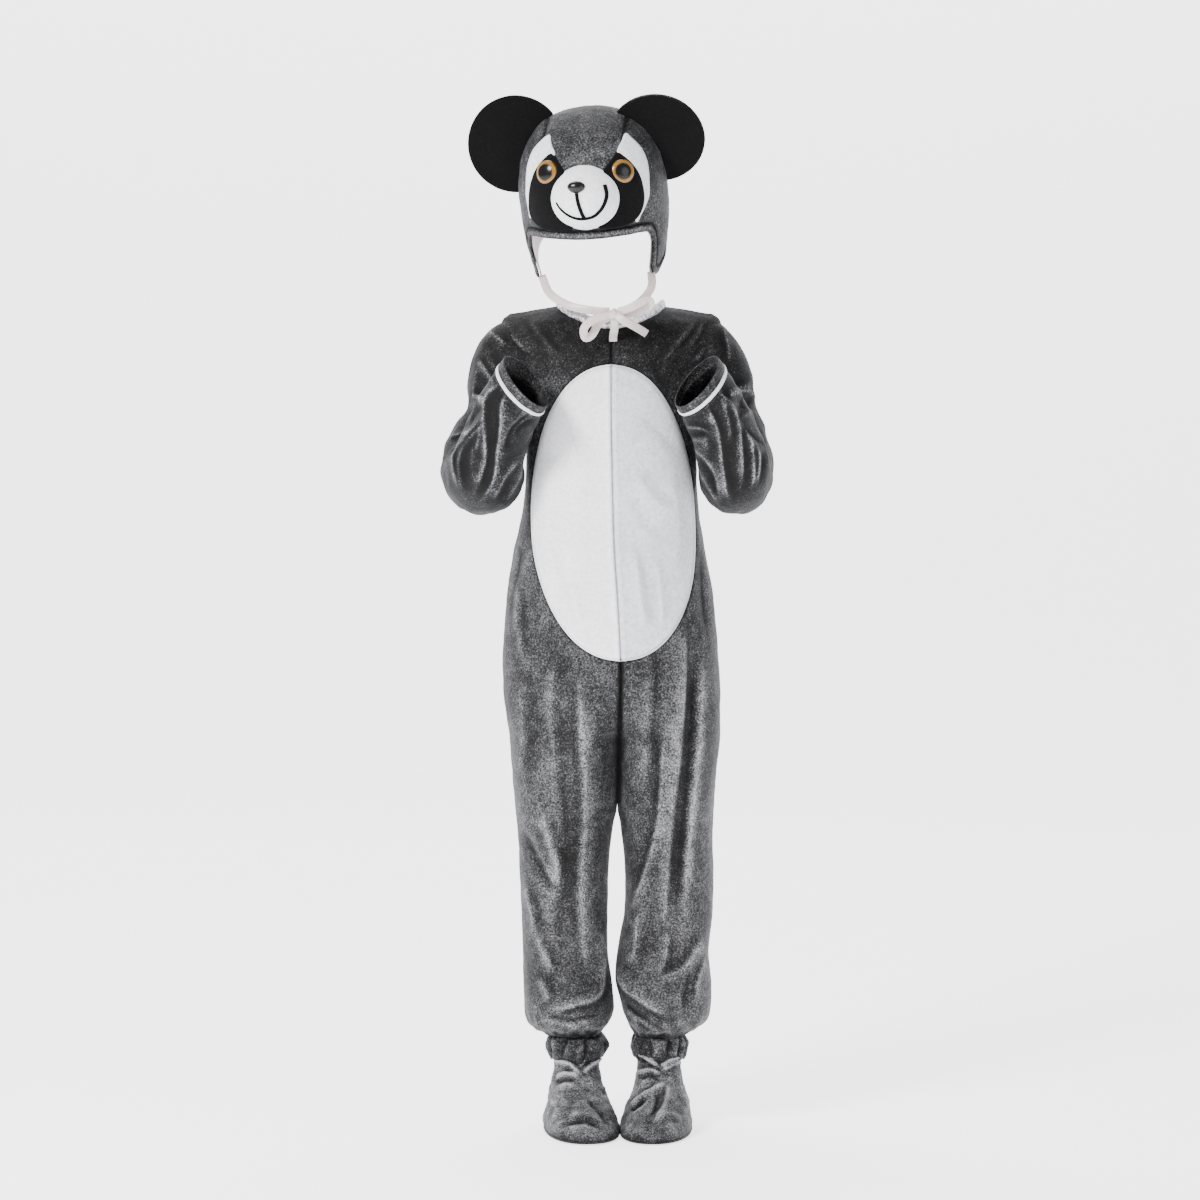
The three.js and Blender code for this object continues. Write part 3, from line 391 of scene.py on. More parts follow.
def ramp_of(tree, value, *stops):
    """Colours over a value. A stop is a position and an sRGB colour."""
    made = add_node(tree, "ShaderNodeValToRGB", {}, {"Fac": value})
    elements = made.color_ramp.elements
    for element, (position, colour) in zip(elements, (stops[0], stops[-1])):
        element.position = position
        element.color = linear(colour)
    for position, colour in stops[1:-1]:
        elements.new(position).color = linear(colour)
    return made.outputs["Color"]


def bump_of(tree, height, strength, distance, **under):
    """Fine relief of a surface, at most distance metres high, over another one if it is given."""
    inputs = {"Height": height, "Strength": strength, "Distance": distance, **under}
    return add_node(tree, "ShaderNodeBump", {}, inputs).outputs[0]


# The colour runs from near black to pale over the painted highlights and shade kept on each mesh, with random
# crush and patches added. Tufts of 1.7 mm give the eye a salt-and-pepper grain, drawn a little coarser than
# real so that it shows.
TUFT, CRUSH, PATCH = 1.7, 10, 40
velour, tree = new_material("dark grey crushed velour")
grain = noise_of(tree, 1000 / TUFT, roughness=0.8)
crush = noise_of(tree, 1000 / CRUSH, detail=3, roughness=0.6)
patch = noise_of(tree, 1000 / PATCH)
light = with_painted_light_and_tone(tree, (grain, 1.5), (crush, 0.35), (patch, 0.25))
shade = add_node(tree, "ShaderNodeMapRange", {}, {"Value": light, "From Min": 0.59, "From Max": 1.59})
pile_stops = [(0, 0x040404), (0.3, 0x121212), (0.5, 0x2E2E2F), (0.75, 0x5E5E5F), (1, 0x9C9C9D)]
pile = ramp_of(tree, shade.outputs[0], *pile_stops)
tufts = bump_of(tree, grain, 0.5, 0.0012)
rough = bump_of(tree, crush, 0.4, 0.002, Normal=tufts)
finish_material(
    tree,
    {
        "Base Color": pile,
        "Normal": rough,
        "Roughness": 0.6,
        "Specular IOR Level": 0.12,
        "Sheen Weight": 0.06,
        "Sheen Roughness": 0.3,
        "Sheen Tint": linear(0xEDEDEE),
    },
)

# Oval of the white belly panel, let into the fronts
BELLY_MIDDLE, BELLY_WIDE, BELLY_ABOVE, BELLY_BELOW, BELLY_ROUNDNESS = -222, 86, 166, 141, 2.15
BELLY_SEAM = 0.6


def outside_belly(points):
    """Distance of places on the front from the oval, below 0 inside it, seen from the front."""
    mid = read_rows(body_rows, points[..., 2])[-1]
    x = (points[..., 0] - mid) / BELLY_WIDE
    z = points[..., 2] - BELLY_MIDDLE
    tall = np.where(z > 0, BELLY_ABOVE, BELLY_BELOW)
    z = z / tall
    reach = (np.abs(x) ** BELLY_ROUNDNESS + np.abs(z) ** BELLY_ROUNDNESS) ** (1 / BELLY_ROUNDNESS)
    slope = np.hypot(np.abs(x) / BELLY_WIDE, np.abs(z) / tall) / np.maximum(np.hypot(x, z), 1e-6)
    return (reach - 1) / np.maximum(slope, 1e-6)


PANEL_WIDE = 192


def body_grid(side, face, spacing):
    """Grid over the front (face 1) or back (face -1) of one half, with cells of about spacing millimetres:
    rows from the shoulder to the ankle, columns from the side seam to the centre or the inner leg."""
    levels = np.concatenate([6 - 0.8 * np.arange(12), np.arange(-3.8, ANKLE, -spacing), [ANKLE]])
    levels = np.unique(levels)[::-1]
    lobe, inner, mid = read_rows(body_rows, levels)[4:]
    share = np.clip(lobe / np.maximum(lobe - inner, 1e-6), 0, 1)
    end = np.arccos(-(share ** (BODY_ROUNDNESS / 2)))
    fine = np.linspace(0, 1, 240)[None, :] * end[:, None] * face
    fine = np.where(np.abs(fine) < 1e-6, 1e-6 * face, fine)
    curve = body_surface(side, np.repeat(levels[:, None], 240, 1), fine)
    points = np.stack([spread(row, round(PANEL_WIDE / spacing)) for row in curve])
    inside = np.stack([side * np.maximum(lobe, 1) + mid, np.full(len(levels), SIDE_SEAM), levels - 30], -1)
    return points, inside[:, None, :]


# Each row: step, centre of the section, its lean and pitch in degrees, and half its width and depth
sleeve_rows = [
    (0, 82, 4, -52, 82, 0, 45, 36),
    (1, 101, 4, -56, 78, 0, 48, 39),
    (2, 115, 4, -67, 62, 0, 45, 40),
    (3, 123, 4, -88, 40, 0, 35.5, 38),
    (4, 125, 4, -108, 17, 0, 29, 36),
    (5, 132, 4, -126, 5, 2, 35, 36),
    (6, 136, 1, -150, 8, 30, 41, 38),
    (7, 137, -14, -167, 10, 60, 42.5, 40),
    (8, 135, -35, -173, 12, 90, 42, 40),
    (9, 131, -55, -165, 18, 120, 40, 37),
    (10, 126, -66, -151, 25, 145, 37, 34),
    (11, 115, -87, -119, 32, 148, 34, 33),
    (12, 102, -106, -94, 42, 150, 33, 32),
    (13, 88, -122, -72, 50, 150, 33, 31),
]


def sleeve_frames(side, steps):
    """Centres, axes and half-sizes of a sleeve's sections at any steps from the shoulder to the cuff."""
    x, y, z, lean, pitch, wide, deep = read_rows(sleeve_rows, steps)
    if side > 0:
        elbow = smooth(steps, 4, 6) * (1 - smooth(steps, 8, 10))
        wide = wide - 4 * elbow - 4.5 * (1 - smooth(np.abs(steps - 2), 0, 1.2))
        x = x - 4 * elbow
    lean, pitch = np.radians(lean), np.radians(pitch)
    zero = np.zeros_like(x)
    centre = np.stack([side * x, y, z], -1)
    across = np.stack([side * np.cos(lean), zero, np.sin(lean)], -1)
    back = np.stack([zero, np.cos(pitch), -np.sin(pitch)], -1)
    back -= across * (back * across).sum(-1, keepdims=True)
    back /= np.linalg.norm(back, axis=-1, keepdims=True)
    return centre, across, back, wide, deep


def in_sleeve(side, points, less):
    """Marks points that lie within the top of the sleeve by more than less millimetres."""
    found = np.zeros(points.shape[:-1], bool)
    steps = np.arange(0, 4.01, 0.2)
    for centre, across, back, wide, deep in zip(*sleeve_frames(side, steps)):
        away = points - centre
        out = np.cross(across, back)
        flat = ((away @ across) / (wide - less)) ** 2 + ((away @ back) / (deep - less)) ** 2 < 1
        found |= flat & (np.abs(away @ out) < 5)
    return found


def body_drape(points, inside, folds, to_front):
    """Normals, height, and painted light and tone of the cloth over a body panel. to_front is 1 on a front
    and -1 on a back.
    Fronts and backs take the same ruffles, so that they meet at the side and inner leg seams."""
    normals = normals_of(points, inside, False)[0]
    height, light = fold_relief(points, folds)
    z = points[..., 2]
    seam = np.abs(points[..., 0] - read_rows(body_rows, z)[-1])
    joined = z > CROTCH
    free = smooth(-to_front * normals[..., 1], 0.05, 0.5) * np.where(joined, smooth(seam, 1, 8), 1)
    height, light = height * free, light * free
    loose = smooth(-z, 20, 60)
    pressed = np.where((z < -425) & (z > -530), smooth(seam, 1, 7), 1)
    height += (1.0 * ruffled(points, 36, 1) * loose + 0.5 * ruffled(points, 14, 2)) * pressed
    height += smooth(-z, 730, 760) * 2.6 * ruffled(points * [1, 1, 0.25], 7.5, 3)
    # Painted shade: ridges lighter and hollows darker.
    light += 0.14 * over_neighbours(height, 24)
    height -= 1.3 * bell(seam, 1.8) * smooth(z, -410, -385)
    # Painted shade in the seam between the legs, and in the centre seams above the crotch.
    light -= 0.7 * bell(seam, 2.2) * smooth(-z, 345, 365) * (z > -520)
    light -= 0.25 * bell(seam, 1.5) * (z > -355)
    # Random tone, darker near the shoulders and lighter down the legs.
    light += 0.1 * ruffled(points, 50, 4) - 0.16 * smooth(z, -110, -50) + 0.06 * smooth(-z, 330, 420)
    # Painted shade in the gathers at the ankle elastic.
    light -= 0.3 * smooth(-z, 762, 769)
    return normals, height, light


def trim_neck(points):
    """Marks the places inside the neck's edge, and moves those next to it onto it."""
    neck = np.hypot(points[..., 0] / NECK_WIDE, (points[..., 1] - NECK_Y) / NECK_DEEP)
    top = points[..., 2] > -60
    near = top & (neck < 1) & (neck > 0.85)
    points[near, 0] = points[near, 0] / neck[near]
    points[near, 1] = NECK_Y + (points[near, 1] - NECK_Y) / neck[near]
    return top & (neck < 1)


front_folds = {
    -1: [
        (
            [(-33, -374), (-32, -427), (-30, -480), (-29, -533), (-32, -586), (-33, -640), (-26, -714)],
            6, 17, 6, 0.24,
        ),
        ([(-56, -440), (-50, -520), (-46, -600), (-56, -640), (-50, -700)], 12, 12, -3.5, -0.14),
        ([(-73, -528), (-66, -560), (-58, -586), (-56, -616)], 9, 7, 3.6, 0.3),
        ([(-94, -550), (-78, -586), (-60, -616)], 8, 5, -3, -0.22),
        ([(-92, -606), (-84, -640), (-80, -668)], 8, 7, 2.6, 0.24),
        ([(-79, -660), (-67, -692), (-57, -702)], 7, 6, 2.8, 0.26),
        ([(-76, -708), (-69, -722), (-65, -735)], 7, 6, 3, 0.3),
        ([(-6, -650), (-9, -692), (-14, -727), (-40, -738), (-68, -746)], 9, 5, 4.5, 0.3),
        ([(-68, -750), (-44, -756), (-12, -750)], 4, 4, -2.5, -0.3),
        ([(-98, -380), (-93, -440), (-98, -505)], 11, 10, 2.0, 0.16),
        ([(-60, -368), (-65, -420), (-60, -475)], 9, 8, 1.8, 0.16),
        ([(-94, -243), (-103, -290), (-112, -335)], 5, 7, -3, -0.25),
        ([(-101, -280), (-99, -330), (-92, -370)], 7, 6, 2, 0.16),
        ([(-116, -10), (-105, -26), (-97, -34), (-86, -44)], 3, 7, 2.2, 0.35),
        ([(-85, -9), (-74, -26), (-63, -38), (-54, -47)], 6, 5, 1.8, 0.2),
        ([(-97, -5), (-82, -24), (-71, -41)], 5, 5, -1.6, -0.14),
    ],
    1: [
        (
            [
                (78, -322), (77, -350), (76, -401), (73, -454),
                (70, -493), (65, -533), (61, -586), (57, -660),
            ],
            13, 4, 7, 0.22,
        ),
        ([(16, -646), (25, -629), (36, -600), (47, -560), (53, -520), (57, -430)], 10, 5, 3.5, 0.26),
        ([(47, -348), (48, -401), (44, -454), (42, -505)], 8, 8, -3, -0.16),
        ([(91, -350), (87, -430), (80, -520), (73, -600), (70, -650)], 8, 7, -4, -0.2),
        ([(98, -361), (94, -454), (86, -533), (81, -586), (78, -642)], 7, 7, 2.8, 0.22),
        ([(98, -662), (85, -688), (73, -701), (46, -711)], 6, 9, 3, 0.26),
        ([(61, -656), (57, -690), (49, -708)], 7, 6, 2.4, 0.2),
        ([(4, -688), (6, -702), (15, -719), (31, -732), (47, -743), (61, -753)], 4, 10, 4, 0.32),
        ([(12, -733), (26, -748), (44, -757)], 4, 5, -2.5, -0.3),
        ([(100, -688), (92, -713), (90, -734)], 3, 5, 2.4, 0.3),
        ([(85, -700), (81, -722), (77, -744)], 5, 5, -2.4, -0.18),
        ([(12, -520), (13, -570), (12, -630)], 6, 6, -2, -0.2),
        ([(31, -636), (27, -668), (22, -700)], 10, 9, 2.4, 0.18),
        ([(96, -243), (98, -290), (103, -345)], 6, 5, -3, -0.25),
        ([(115, -12), (111, -23), (106, -35), (101, -48)], 3, 7, 2.2, 0.3),
        ([(96, -8), (83, -25), (70, -41)], 4, 4, -2, -0.25),
        ([(102, -9), (96, -25), (87, -37)], 4, 4, -1.8, -0.2),
        ([(99, -36), (93, -45), (87, -52)], 4, 4, 1.6, 0.25),
        ([(79, -18), (66, -38), (55, -53)], 5, 5, 1.6, 0.18),
    ],
}
for side, name in ((-1, "front_right"), (1, "front_left")):
    points, inside = body_grid(side, 1, 2.25)
    normals, height, painted_light_and_tone = body_drape(points, inside, front_folds[side], 1)
    oval = outside_belly(points)
    height -= 1.6 * (1 - smooth(oval, -2, 1.5)) + 0.8 * bell(oval, 2.2)
    # Painted shade in the seam groove round the belly.
    painted_light_and_tone -= 0.35 * bell(oval, 1.6)
    moved = points + normals * height[..., None]
    drop = trim_neck(moved) | (oval < -7) | in_sleeve(side, points, 4)
    piece = cloth(name, moved, inside, velour, tone_and_painted_light=painted_light_and_tone, drop=drop)
    put_on(piece, name)


# Backs of the jumpsuit
# Two panels of the same velour, with soft drape like the fronts. A closure runs down the centre back.

back_folds = {
    -1: [
        ([(-45, -350), (-50, -420), (-56, -520), (-60, -610), (-52, -700)], 16, 14, 6, 0.3),
        ([(-80, -420), (-90, -520), (-88, -640)], 13, 14, -4, -0.2),
        ([(-30, -470), (-26, -560), (-34, -640)], 12, 12, -3.5, -0.18),
        ([(-80, -690), (-58, -712), (-36, -728)], 9, 8, 4, 0.3),
        ([(-70, -40), (-52, -80), (-40, -130)], 8, 9, 2.6, 0.2),
        ([(-86, -110), (-66, -160), (-60, -230)], 9, 9, 2.6, 0.2),
        ([(-30, -250), (-48, -300), (-80, -330)], 9, 9, 3, 0.2),
        ([(-20, -360), (-50, -384), (-86, -388)], 9, 9, 3, 0.22),
    ],
    1: [
        ([(50, -340), (56, -420), (60, -520), (66, -610), (58, -700)], 14, 16, 6, 0.3),
        ([(88, -420), (96, -520), (94, -640)], 13, 14, -4, -0.2),
        ([(34, -470), (32, -560), (40, -640)], 12, 12, -3.5, -0.18),
        ([(88, -690), (66, -710), (44, -726)], 9, 8, 4, 0.3),
        ([(66, -46), (54, -90), (36, -140)], 8, 9, 2.6, 0.2),
        ([(84, -120), (70, -170), (58, -220)], 9, 9, 2.6, 0.2),
        ([(34, -260), (54, -306), (84, -326)], 9, 9, 3, 0.2),
        ([(26, -366), (56, -390), (92, -384)], 9, 9, 3, 0.22),
    ],
}
for side, name in ((-1, "back_right"), (1, "back_left")):
    points, inside = body_grid(side, -1, 3.1)
    normals, height, painted_light_and_tone = body_drape(points, inside, back_folds[side], -1)
    moved = points + normals * height[..., None]
    drop = trim_neck(moved) | in_sleeve(side, points, 4)
    piece = cloth(name, moved, inside, velour, tone_and_painted_light=painted_light_and_tone, drop=drop)
    put_on(piece, name)


# Belly
# A white fleece oval in two halves, joined at the centre front and sewn flat into the grey fronts.

fleece, tree = new_material("white short-pile fleece")
fuzz = noise_of(tree, 700, detail=3, roughness=0.65)
knit = noise_of(tree, 240, roughness=0.6)
white = ramp_of(tree, with_painted_light_and_tone(tree, (fuzz, 0.5), (knit, 0.5)), (0.1, 0xA6A8AC), (0.8, 0xFAFAFC))
rough = bump_of(tree, fuzz, 0.35, 0.0008)
finish_material(
    tree,
    {
        "Base Color": white,
        "Normal": rough,
        "Roughness": 0.9,
        "Specular IOR Level": 0.15,
        "Sheen Weight": 0.2,
        "Sheen Roughness": 0.5,
    },
)


def front_place(side, x, z):
    """Points of the front at distances x from the centre-front line, seen from the front."""
    right, left, front, _, lobe, inner, mid = read_rows(body_rows, z)
    reach = right if side < 0 else left
    across = np.where(x > lobe, reach - lobe, lobe - inner)
    out = np.clip(np.abs(x - lobe) / across, 0, 1)
    y = SIDE_SEAM - front * (1 - out**BODY_ROUNDNESS) ** (1 / BODY_ROUNDNESS)
    return np.stack([side * x + mid, y, z], -1)


belly_folds = {
    -1: [
        ([(-40, -286), (-36, -312), (-31, -334)], 6, 6, 3.2, 0.12),
        ([(-60, -150), (-64, -220), (-56, -290)], 14, 14, 2.4, 0.1),
        ([(-20, -130), (-26, -200), (-24, -290)], 14, 14, -2.2, -0.12),
        ([(-66, -230), (-56, -270), (-46, -300)], 9, 9, -2.0, -0.12),
    ],
    1: [
        ([(24, -250), (30, -300), (36, -336)], 7, 5, 4.0, 0.2),
        ([(47, -262), (51, -300), (53, -332)], 5, 6, 4.0, 0.2),
        ([(34, -262), (41, -300), (45, -334)], 6, 6, -3.2, -0.22),
        ([(24, -170), (44, -200), (66, -214)], 10, 9, 3.0, 0.14),
        ([(20, -196), (40, -228), (62, -244)], 9, 9, -2.8, -0.16),
        ([(30, -110), (52, -128), (70, -150)], 9, 9, -2.2, -0.12),
        ([(62, -170), (70, -230), (64, -276)], 9, 6, 2.4, 0.1),
    ],
}
for side, name in ((-1, "belly_right"), (1, "belly_left")):
    turn = np.linspace(-np.pi / 2, np.pi / 2, 141)[:, None]
    tall = np.where(np.sin(turn) > 0, BELLY_ABOVE, BELLY_BELOW)
    edge_x = (BELLY_WIDE + BELLY_SEAM) * squared(np.cos(turn), BELLY_ROUNDNESS)
    edge_z = BELLY_MIDDLE + (tall + BELLY_SEAM) * squared(np.sin(turn), BELLY_ROUNDNESS)
    across = np.linspace(0, 1, 42)[None, :]
    points = front_place(side, edge_x * across, edge_z * np.ones_like(across))
    inside = np.array([0, 0, BELLY_MIDDLE])
    normals = normals_of(points, inside, False)[0]
    height, painted_light_and_tone = fold_relief(points, belly_folds[side])
    oval = outside_belly(points)
    height = height * smooth(-oval, 0, 12) + 0.7 * ruffled(points, 38, 9) * smooth(-oval, 0, 12)
    height += 1.3 * smooth(-oval, 0.2, 5) - 0.2
    seam = np.abs(points[..., 0] - read_rows(body_rows, points[..., 2])[-1])
    height += 1.1 * bell(seam - 3.5, 3.0) - 2.0 * bell(seam, 1.2)
    # Painted shade in the centre seam and round the oval's edge, a painted highlight on the puff beside the
    # seam, and the half nearer the key light painted lighter and the other darker, over random tone.
    painted_light_and_tone = painted_light_and_tone + 0.05 * ruffled(points, 30, 10) - 0.35 * bell(seam, 1.0) - 0.16 * side
    painted_light_and_tone += 0.1 * bell(seam - 3.5, 2.5) - 0.25 * bell(oval + 1.2, 0.9)
    piece = cloth(name, points + normals * height[..., None], inside, fleece, tone_and_painted_light=painted_light_and_tone, thick=1.0)
    put_on(piece, name)


# Back placket
# A strip of velour 24 mm wide that covers the hook-and-loop closure down the centre back, topstitched.

PLACKET_HALF, PLACKET_STITCH, PLACKET_TOP, PLACKET_BOTTOM = 12, 9.5, -30, -300
levels = np.linspace(PLACKET_TOP, PLACKET_BOTTOM, 92)
across = np.linspace(-PLACKET_HALF, PLACKET_HALF, 17)
right, left, _, back, _, _, mid = read_rows(body_rows, levels)
x = np.repeat(across[None, :], len(levels), 0)
reach = np.where(x < 0, right[:, None], left[:, None])
out = np.abs(x) / reach
y = SIDE_SEAM + (back[:, None] + 0.8) * (1 - out**BODY_ROUNDNESS) ** (1 / BODY_ROUNDNESS)
points = np.stack([x + mid[:, None], y, np.repeat(levels[:, None], len(across), 1)], -1)
inside = np.array([0, 0, -165])
normals = normals_of(points, inside, False)[0]
height = 1.0 + 0.4 * ruffled(points, 20, 11)
height -= 0.7 * bell(np.abs(x) - PLACKET_STITCH, 1.0)
height *= smooth(PLACKET_HALF + 0.01 - np.abs(x), 0, 2)
piece = cloth("back_placket", points + normals * height[..., None], inside, velour, tone_and_painted_light=0 * x, thick=1.0)
put_on(piece, "back_placket")


# Sleeves
# Velour tubes set into the armholes, bent at the elbow and carried forward, with deep drag folds on the elbow
# and a turned hem at the open cuff.

sleeve_folds = {
    -1: [
        (
            [
                (-104, -58), (-121, -78), (-129, -88), (-133, -98),
                (-133, -120), (-132, -150), (-137, -171), (-146, -194),
            ],
            7, 4, 3.4, 0.4,
        ),
        (
            [
                (-105, -66), (-111, -85), (-115, -100), (-116, -117),
                (-120, -143), (-125, -176), (-141, -206),
            ],
            4, 9, 3.4, 0.4,
        ),
        (
            [
                (-134, -111), (-145, -122), (-152, -131), (-158, -139),
                (-164, -147), (-166, -160), (-161, -189),
            ],
            4, 3, 2.4, 0.4,
        ),
        (
            [(-134, -117), (-142, -126), (-151, -137), (-157, -149), (-160, -161), (-157, -191)],
            4, 3.5, 2.4, 0.36,
        ),
        ([(-136, -118), (-139, -134), (-143, -148)], 3.5, 3, 1.5, 0.22),
        ([(-146, -138), (-147, -160), (-144, -182)], 7, 7, 1, 0.22),
        ([(-172, -133), (-158, -129), (-146, -127)], 3, 3.5, 1.8, 0.3),
        ([(-147, -86), (-139, -89), (-132, -92)], 5, 4, 2.6, 0.36),
        ([(-133, -97), (-145, -107), (-157, -123)], 7, 7, -3, -0.3),
        ([(-141, -49), (-131, -63), (-121, -78)], 6, 3, 2, 0.35),
        ([(-130, -19), (-121, -26), (-110, -35)], 7, 3, 1.8, 0.3),
        ([(-129, -43), (-118, -54), (-108, -65)], 8, 8, -2, -0.22),
        ([(-142, -58), (-144, -75), (-147, -86)], 4, 4, 1, 0.2),
        ([(-82, -103), (-97, -116), (-105, -124), (-110, -135), (-111, -147)], 3, 4, -2, -0.3),
        ([(-79, -111), (-90, -118), (-98, -125), (-100, -132)], 3, 3, -2, -0.3),
        ([(-99, -156), (-107, -166), (-114, -175), (-126, -199)], 5, 4, 2.2, 0.26),
        ([(-82, -142), (-89, -158), (-102, -182), (-112, -201)], 5, 4, 2, 0.2),
        ([(-84, -148), (-88, -172), (-96, -198)], 6, 6, -1.5, -0.2),
    ],
    1: [
        (
            [
                (88, -55), (99, -62), (107, -72), (115, -84), (121, -92),
                (128, -100), (134, -120), (138, -157), (138, -191),
            ],
            6, 3.5, 3.2, 0.4,
        ),
        ([(116, -89), (121, -106), (125, -123), (125, -138)], 5, 4, 1.8, 0.26),
        ([(96, -92), (104, -105), (111, -119), (115, -135), (119, -163), (126, -205)], 9, 4, 3.4, 0.4),
        (
            [(70, -122), (81, -134), (89, -144), (99, -152), (107, -162), (113, -174), (117, -199)],
            4, 8, 2.8, 0.36,
        ),
        ([(86, -158), (94, -167), (100, -177), (107, -189), (116, -203)], 3.5, 5, 2.2, 0.3),
        ([(133, -113), (142, -125), (147, -139), (150, -157), (150, -177), (147, -191)], 4, 3.5, 2.2, 0.38),
        ([(142, -127), (151, -139), (156, -151), (156, -167), (152, -186)], 4, 3, 2.2, 0.38),
        ([(161, -145), (161, -163), (156, -182)], 4, 4, -1.5, -0.3),
        ([(137, -118), (149, -128), (164, -141)], 4, 3.5, -2.4, -0.28),
        ([(120, -92), (131, -86), (142, -84), (150, -89), (152, -100)], 3, 3.5, 2.6, 0.4),
        ([(121, -86), (131, -81), (141, -78), (149, -79)], 7, 5, 1.5, 0.28),
        ([(140, -90), (141, -96), (140, -103)], 7, 7, -4.5, -0.45),
        ([(134, -111), (142, -108), (149, -102)], 3.5, 3, 1.5, 0.25),
        ([(117, -13), (121, -28), (124, -42), (125, -55)], 4, 5, 1.6, 0.28),
        ([(105, -51), (110, -66), (113, -77)], 4, 4, 1.2, 0.16),
        ([(78, -127), (91, -130), (103, -128)], 5, 5, -2.5, -0.35),
        ([(75, -122), (89, -121), (105, -126)], 3.5, 3, 1.6, 0.3),
        ([(100, -130), (104, -147)], 8, 7, 1, 0.16),
    ],
}
CUFF_SEAM = 12.55


def turns(count):
    """Even turns round a circle."""
    return np.linspace(0, 2 * np.pi, count, endpoint=False)


def tube(centre, across, back, wide, deep, turn):
    """Points round oval sections with the given centres, axes and half-sizes."""
    points = centre[:, None, :] + across[:, None, :] * (wide * np.cos(turn))[..., None]
    return points + back[:, None, :] * (deep * np.sin(turn))[..., None]


for side, name in ((-1, "sleeve_right"), (1, "sleeve_left")):
    upper = np.linspace(0.3, 4, 50, endpoint=False)
    steps = np.concatenate([upper, np.linspace(4, 12.4, 110), CUFF_SEAM + 0.01 * np.arange(46)])
    steps = np.unique(np.clip(steps, 0, 13))
    centre, across, back, wide, deep = sleeve_frames(side, steps)
    turn = turns(136)
    points = tube(centre, across, back, wide[:, None], deep[:, None], turn)
    inside = centre[:, None, :]
    normals = normals_of(points, inside, True)[0]
    height, painted_light_and_tone = fold_relief(points, sleeve_folds[side])
    faces_front = smooth(-normals[..., 1], 0.0, 0.4)
    height, painted_light_and_tone = 1.3 * height * faces_front, 1.5 * painted_light_and_tone * faces_front
    dragged = 1.9 * ruffled(points * [1, 1, 0.42], 11, 12) + 0.9 * ruffled(points, 20, 13)
    height += dragged * (1 - faces_front) * smooth(steps, 1.5, 3.5)[:, None]
    at_hem = smooth(steps, 12.3, 12.55)[:, None]
    height *= 1 - smooth(steps, 12.1, 12.5)[:, None]
    height += 0.6 * ruffled(points, 12, 14) * (1 - 0.7 * at_hem)
    # Painted shade: ridges lighter and hollows darker, over the highlights and shade painted along the folds.
    painted_light_and_tone = painted_light_and_tone * (1 - at_hem) + 0.24 * over_neighbours(height, 16, True)
    round_hem = np.sin(np.pi * np.clip((steps - 12.69) / 0.31, 0, 1))[:, None]
    height += 0.5 * round_hem - 0.7 * bell(steps - 12.62, 0.05)[:, None]
    painted_light_and_tone += 0.08 * ruffled(points, 40, 15) - 0.2 + 0.2 * at_hem
    torso = np.stack(read_rows(body_rows, points[..., 2]), 0)
    reach = torso[0] if side < 0 else torso[1]
    depth = np.where(points[..., 1] < SIDE_SEAM, torso[2], torso[3])
    within = (np.abs(points[..., 0]) / reach) ** BODY_ROUNDNESS
    within += (np.abs(points[..., 1] - SIDE_SEAM) / depth) ** BODY_ROUNDNESS
    drop = (within < 0.9) & (steps < 4)[:, None]
    piece = cloth(
        name, points + normals * height[..., None], inside, velour, tone_and_painted_light=painted_light_and_tone, closed=True, drop=drop
    )
    put_on(piece, name)


# Cuff tapes
# White bias tape 4 mm wide, stitched round each cuff above its turned hem.

tape, tree = new_material("white bias tape")
threads = noise_of(tree, 900)
tint = ramp_of(tree, threads, (0, 0xB4B5BA), (1, 0xF2F2F4))
rough = bump_of(tree, threads, 0.4, 0.0006)
finish_material(
    tree,
    {"Base Color": tint, "Normal": rough, "Roughness": 0.55, "Sheen Weight": 0.1},
)
for side, name in ((-1, "cuff_tape_right"), (1, "cuff_tape_left")):
    steps = np.linspace(CUFF_SEAM, CUFF_SEAM + 0.14, 5)
    centre, across, back, wide, deep = sleeve_frames(side, steps)
    turn = turns(120)
    bow = 0.8 + 0.5 * np.sin(np.linspace(0, np.pi, 5))[:, None]
    points = tube(centre, across, back, wide[:, None] + bow, deep[:, None] + bow, turn)
    points += 0.25 * ruffled(points, 9, 16)[..., None]
    piece = cloth(name, points, centre[:, None, :], tape, closed=True, thick=0.6)
    put_on(piece, name)


# Neck binding
# A strip of silvery satin folded over the neck edge, 7 mm high and crinkled by its stitching.

silver, tree = new_material("silvery crinkled satin")
crinkle = noise_of(tree, 260, detail=3, distortion=1.2)
tint = ramp_of(tree, crinkle, (0.35, 0x8E9097), (0.6, 0xF4F4F8))
rough = bump_of(tree, crinkle, 0.6, 0.002)
finish_material(
    tree,
    {
        "Base Color": tint,
        "Normal": rough,
        "Roughness": 0.3,
        "Metallic": 0.35,
        "Anisotropic": 0.4,
    },
)


def shoulder_level(x, y):
    """Level of the suit's surface over places near the neck."""
    above, below = np.full(x.shape, 6.0), np.full(x.shape, -110.0)
    for _ in range(30):
        z = (above + below) / 2
        right, _, front, back = read_rows(body_rows, z)[:4]
        depth = np.where(y < SIDE_SEAM, front, back)
        out = (np.abs(x) / right) ** BODY_ROUNDNESS + (np.abs(y - SIDE_SEAM) / depth) ** BODY_ROUNDNESS
        above, below = np.where(out > 1, z, above), np.where(out > 1, below, z)
    return above - shoulder_drop(x, above)


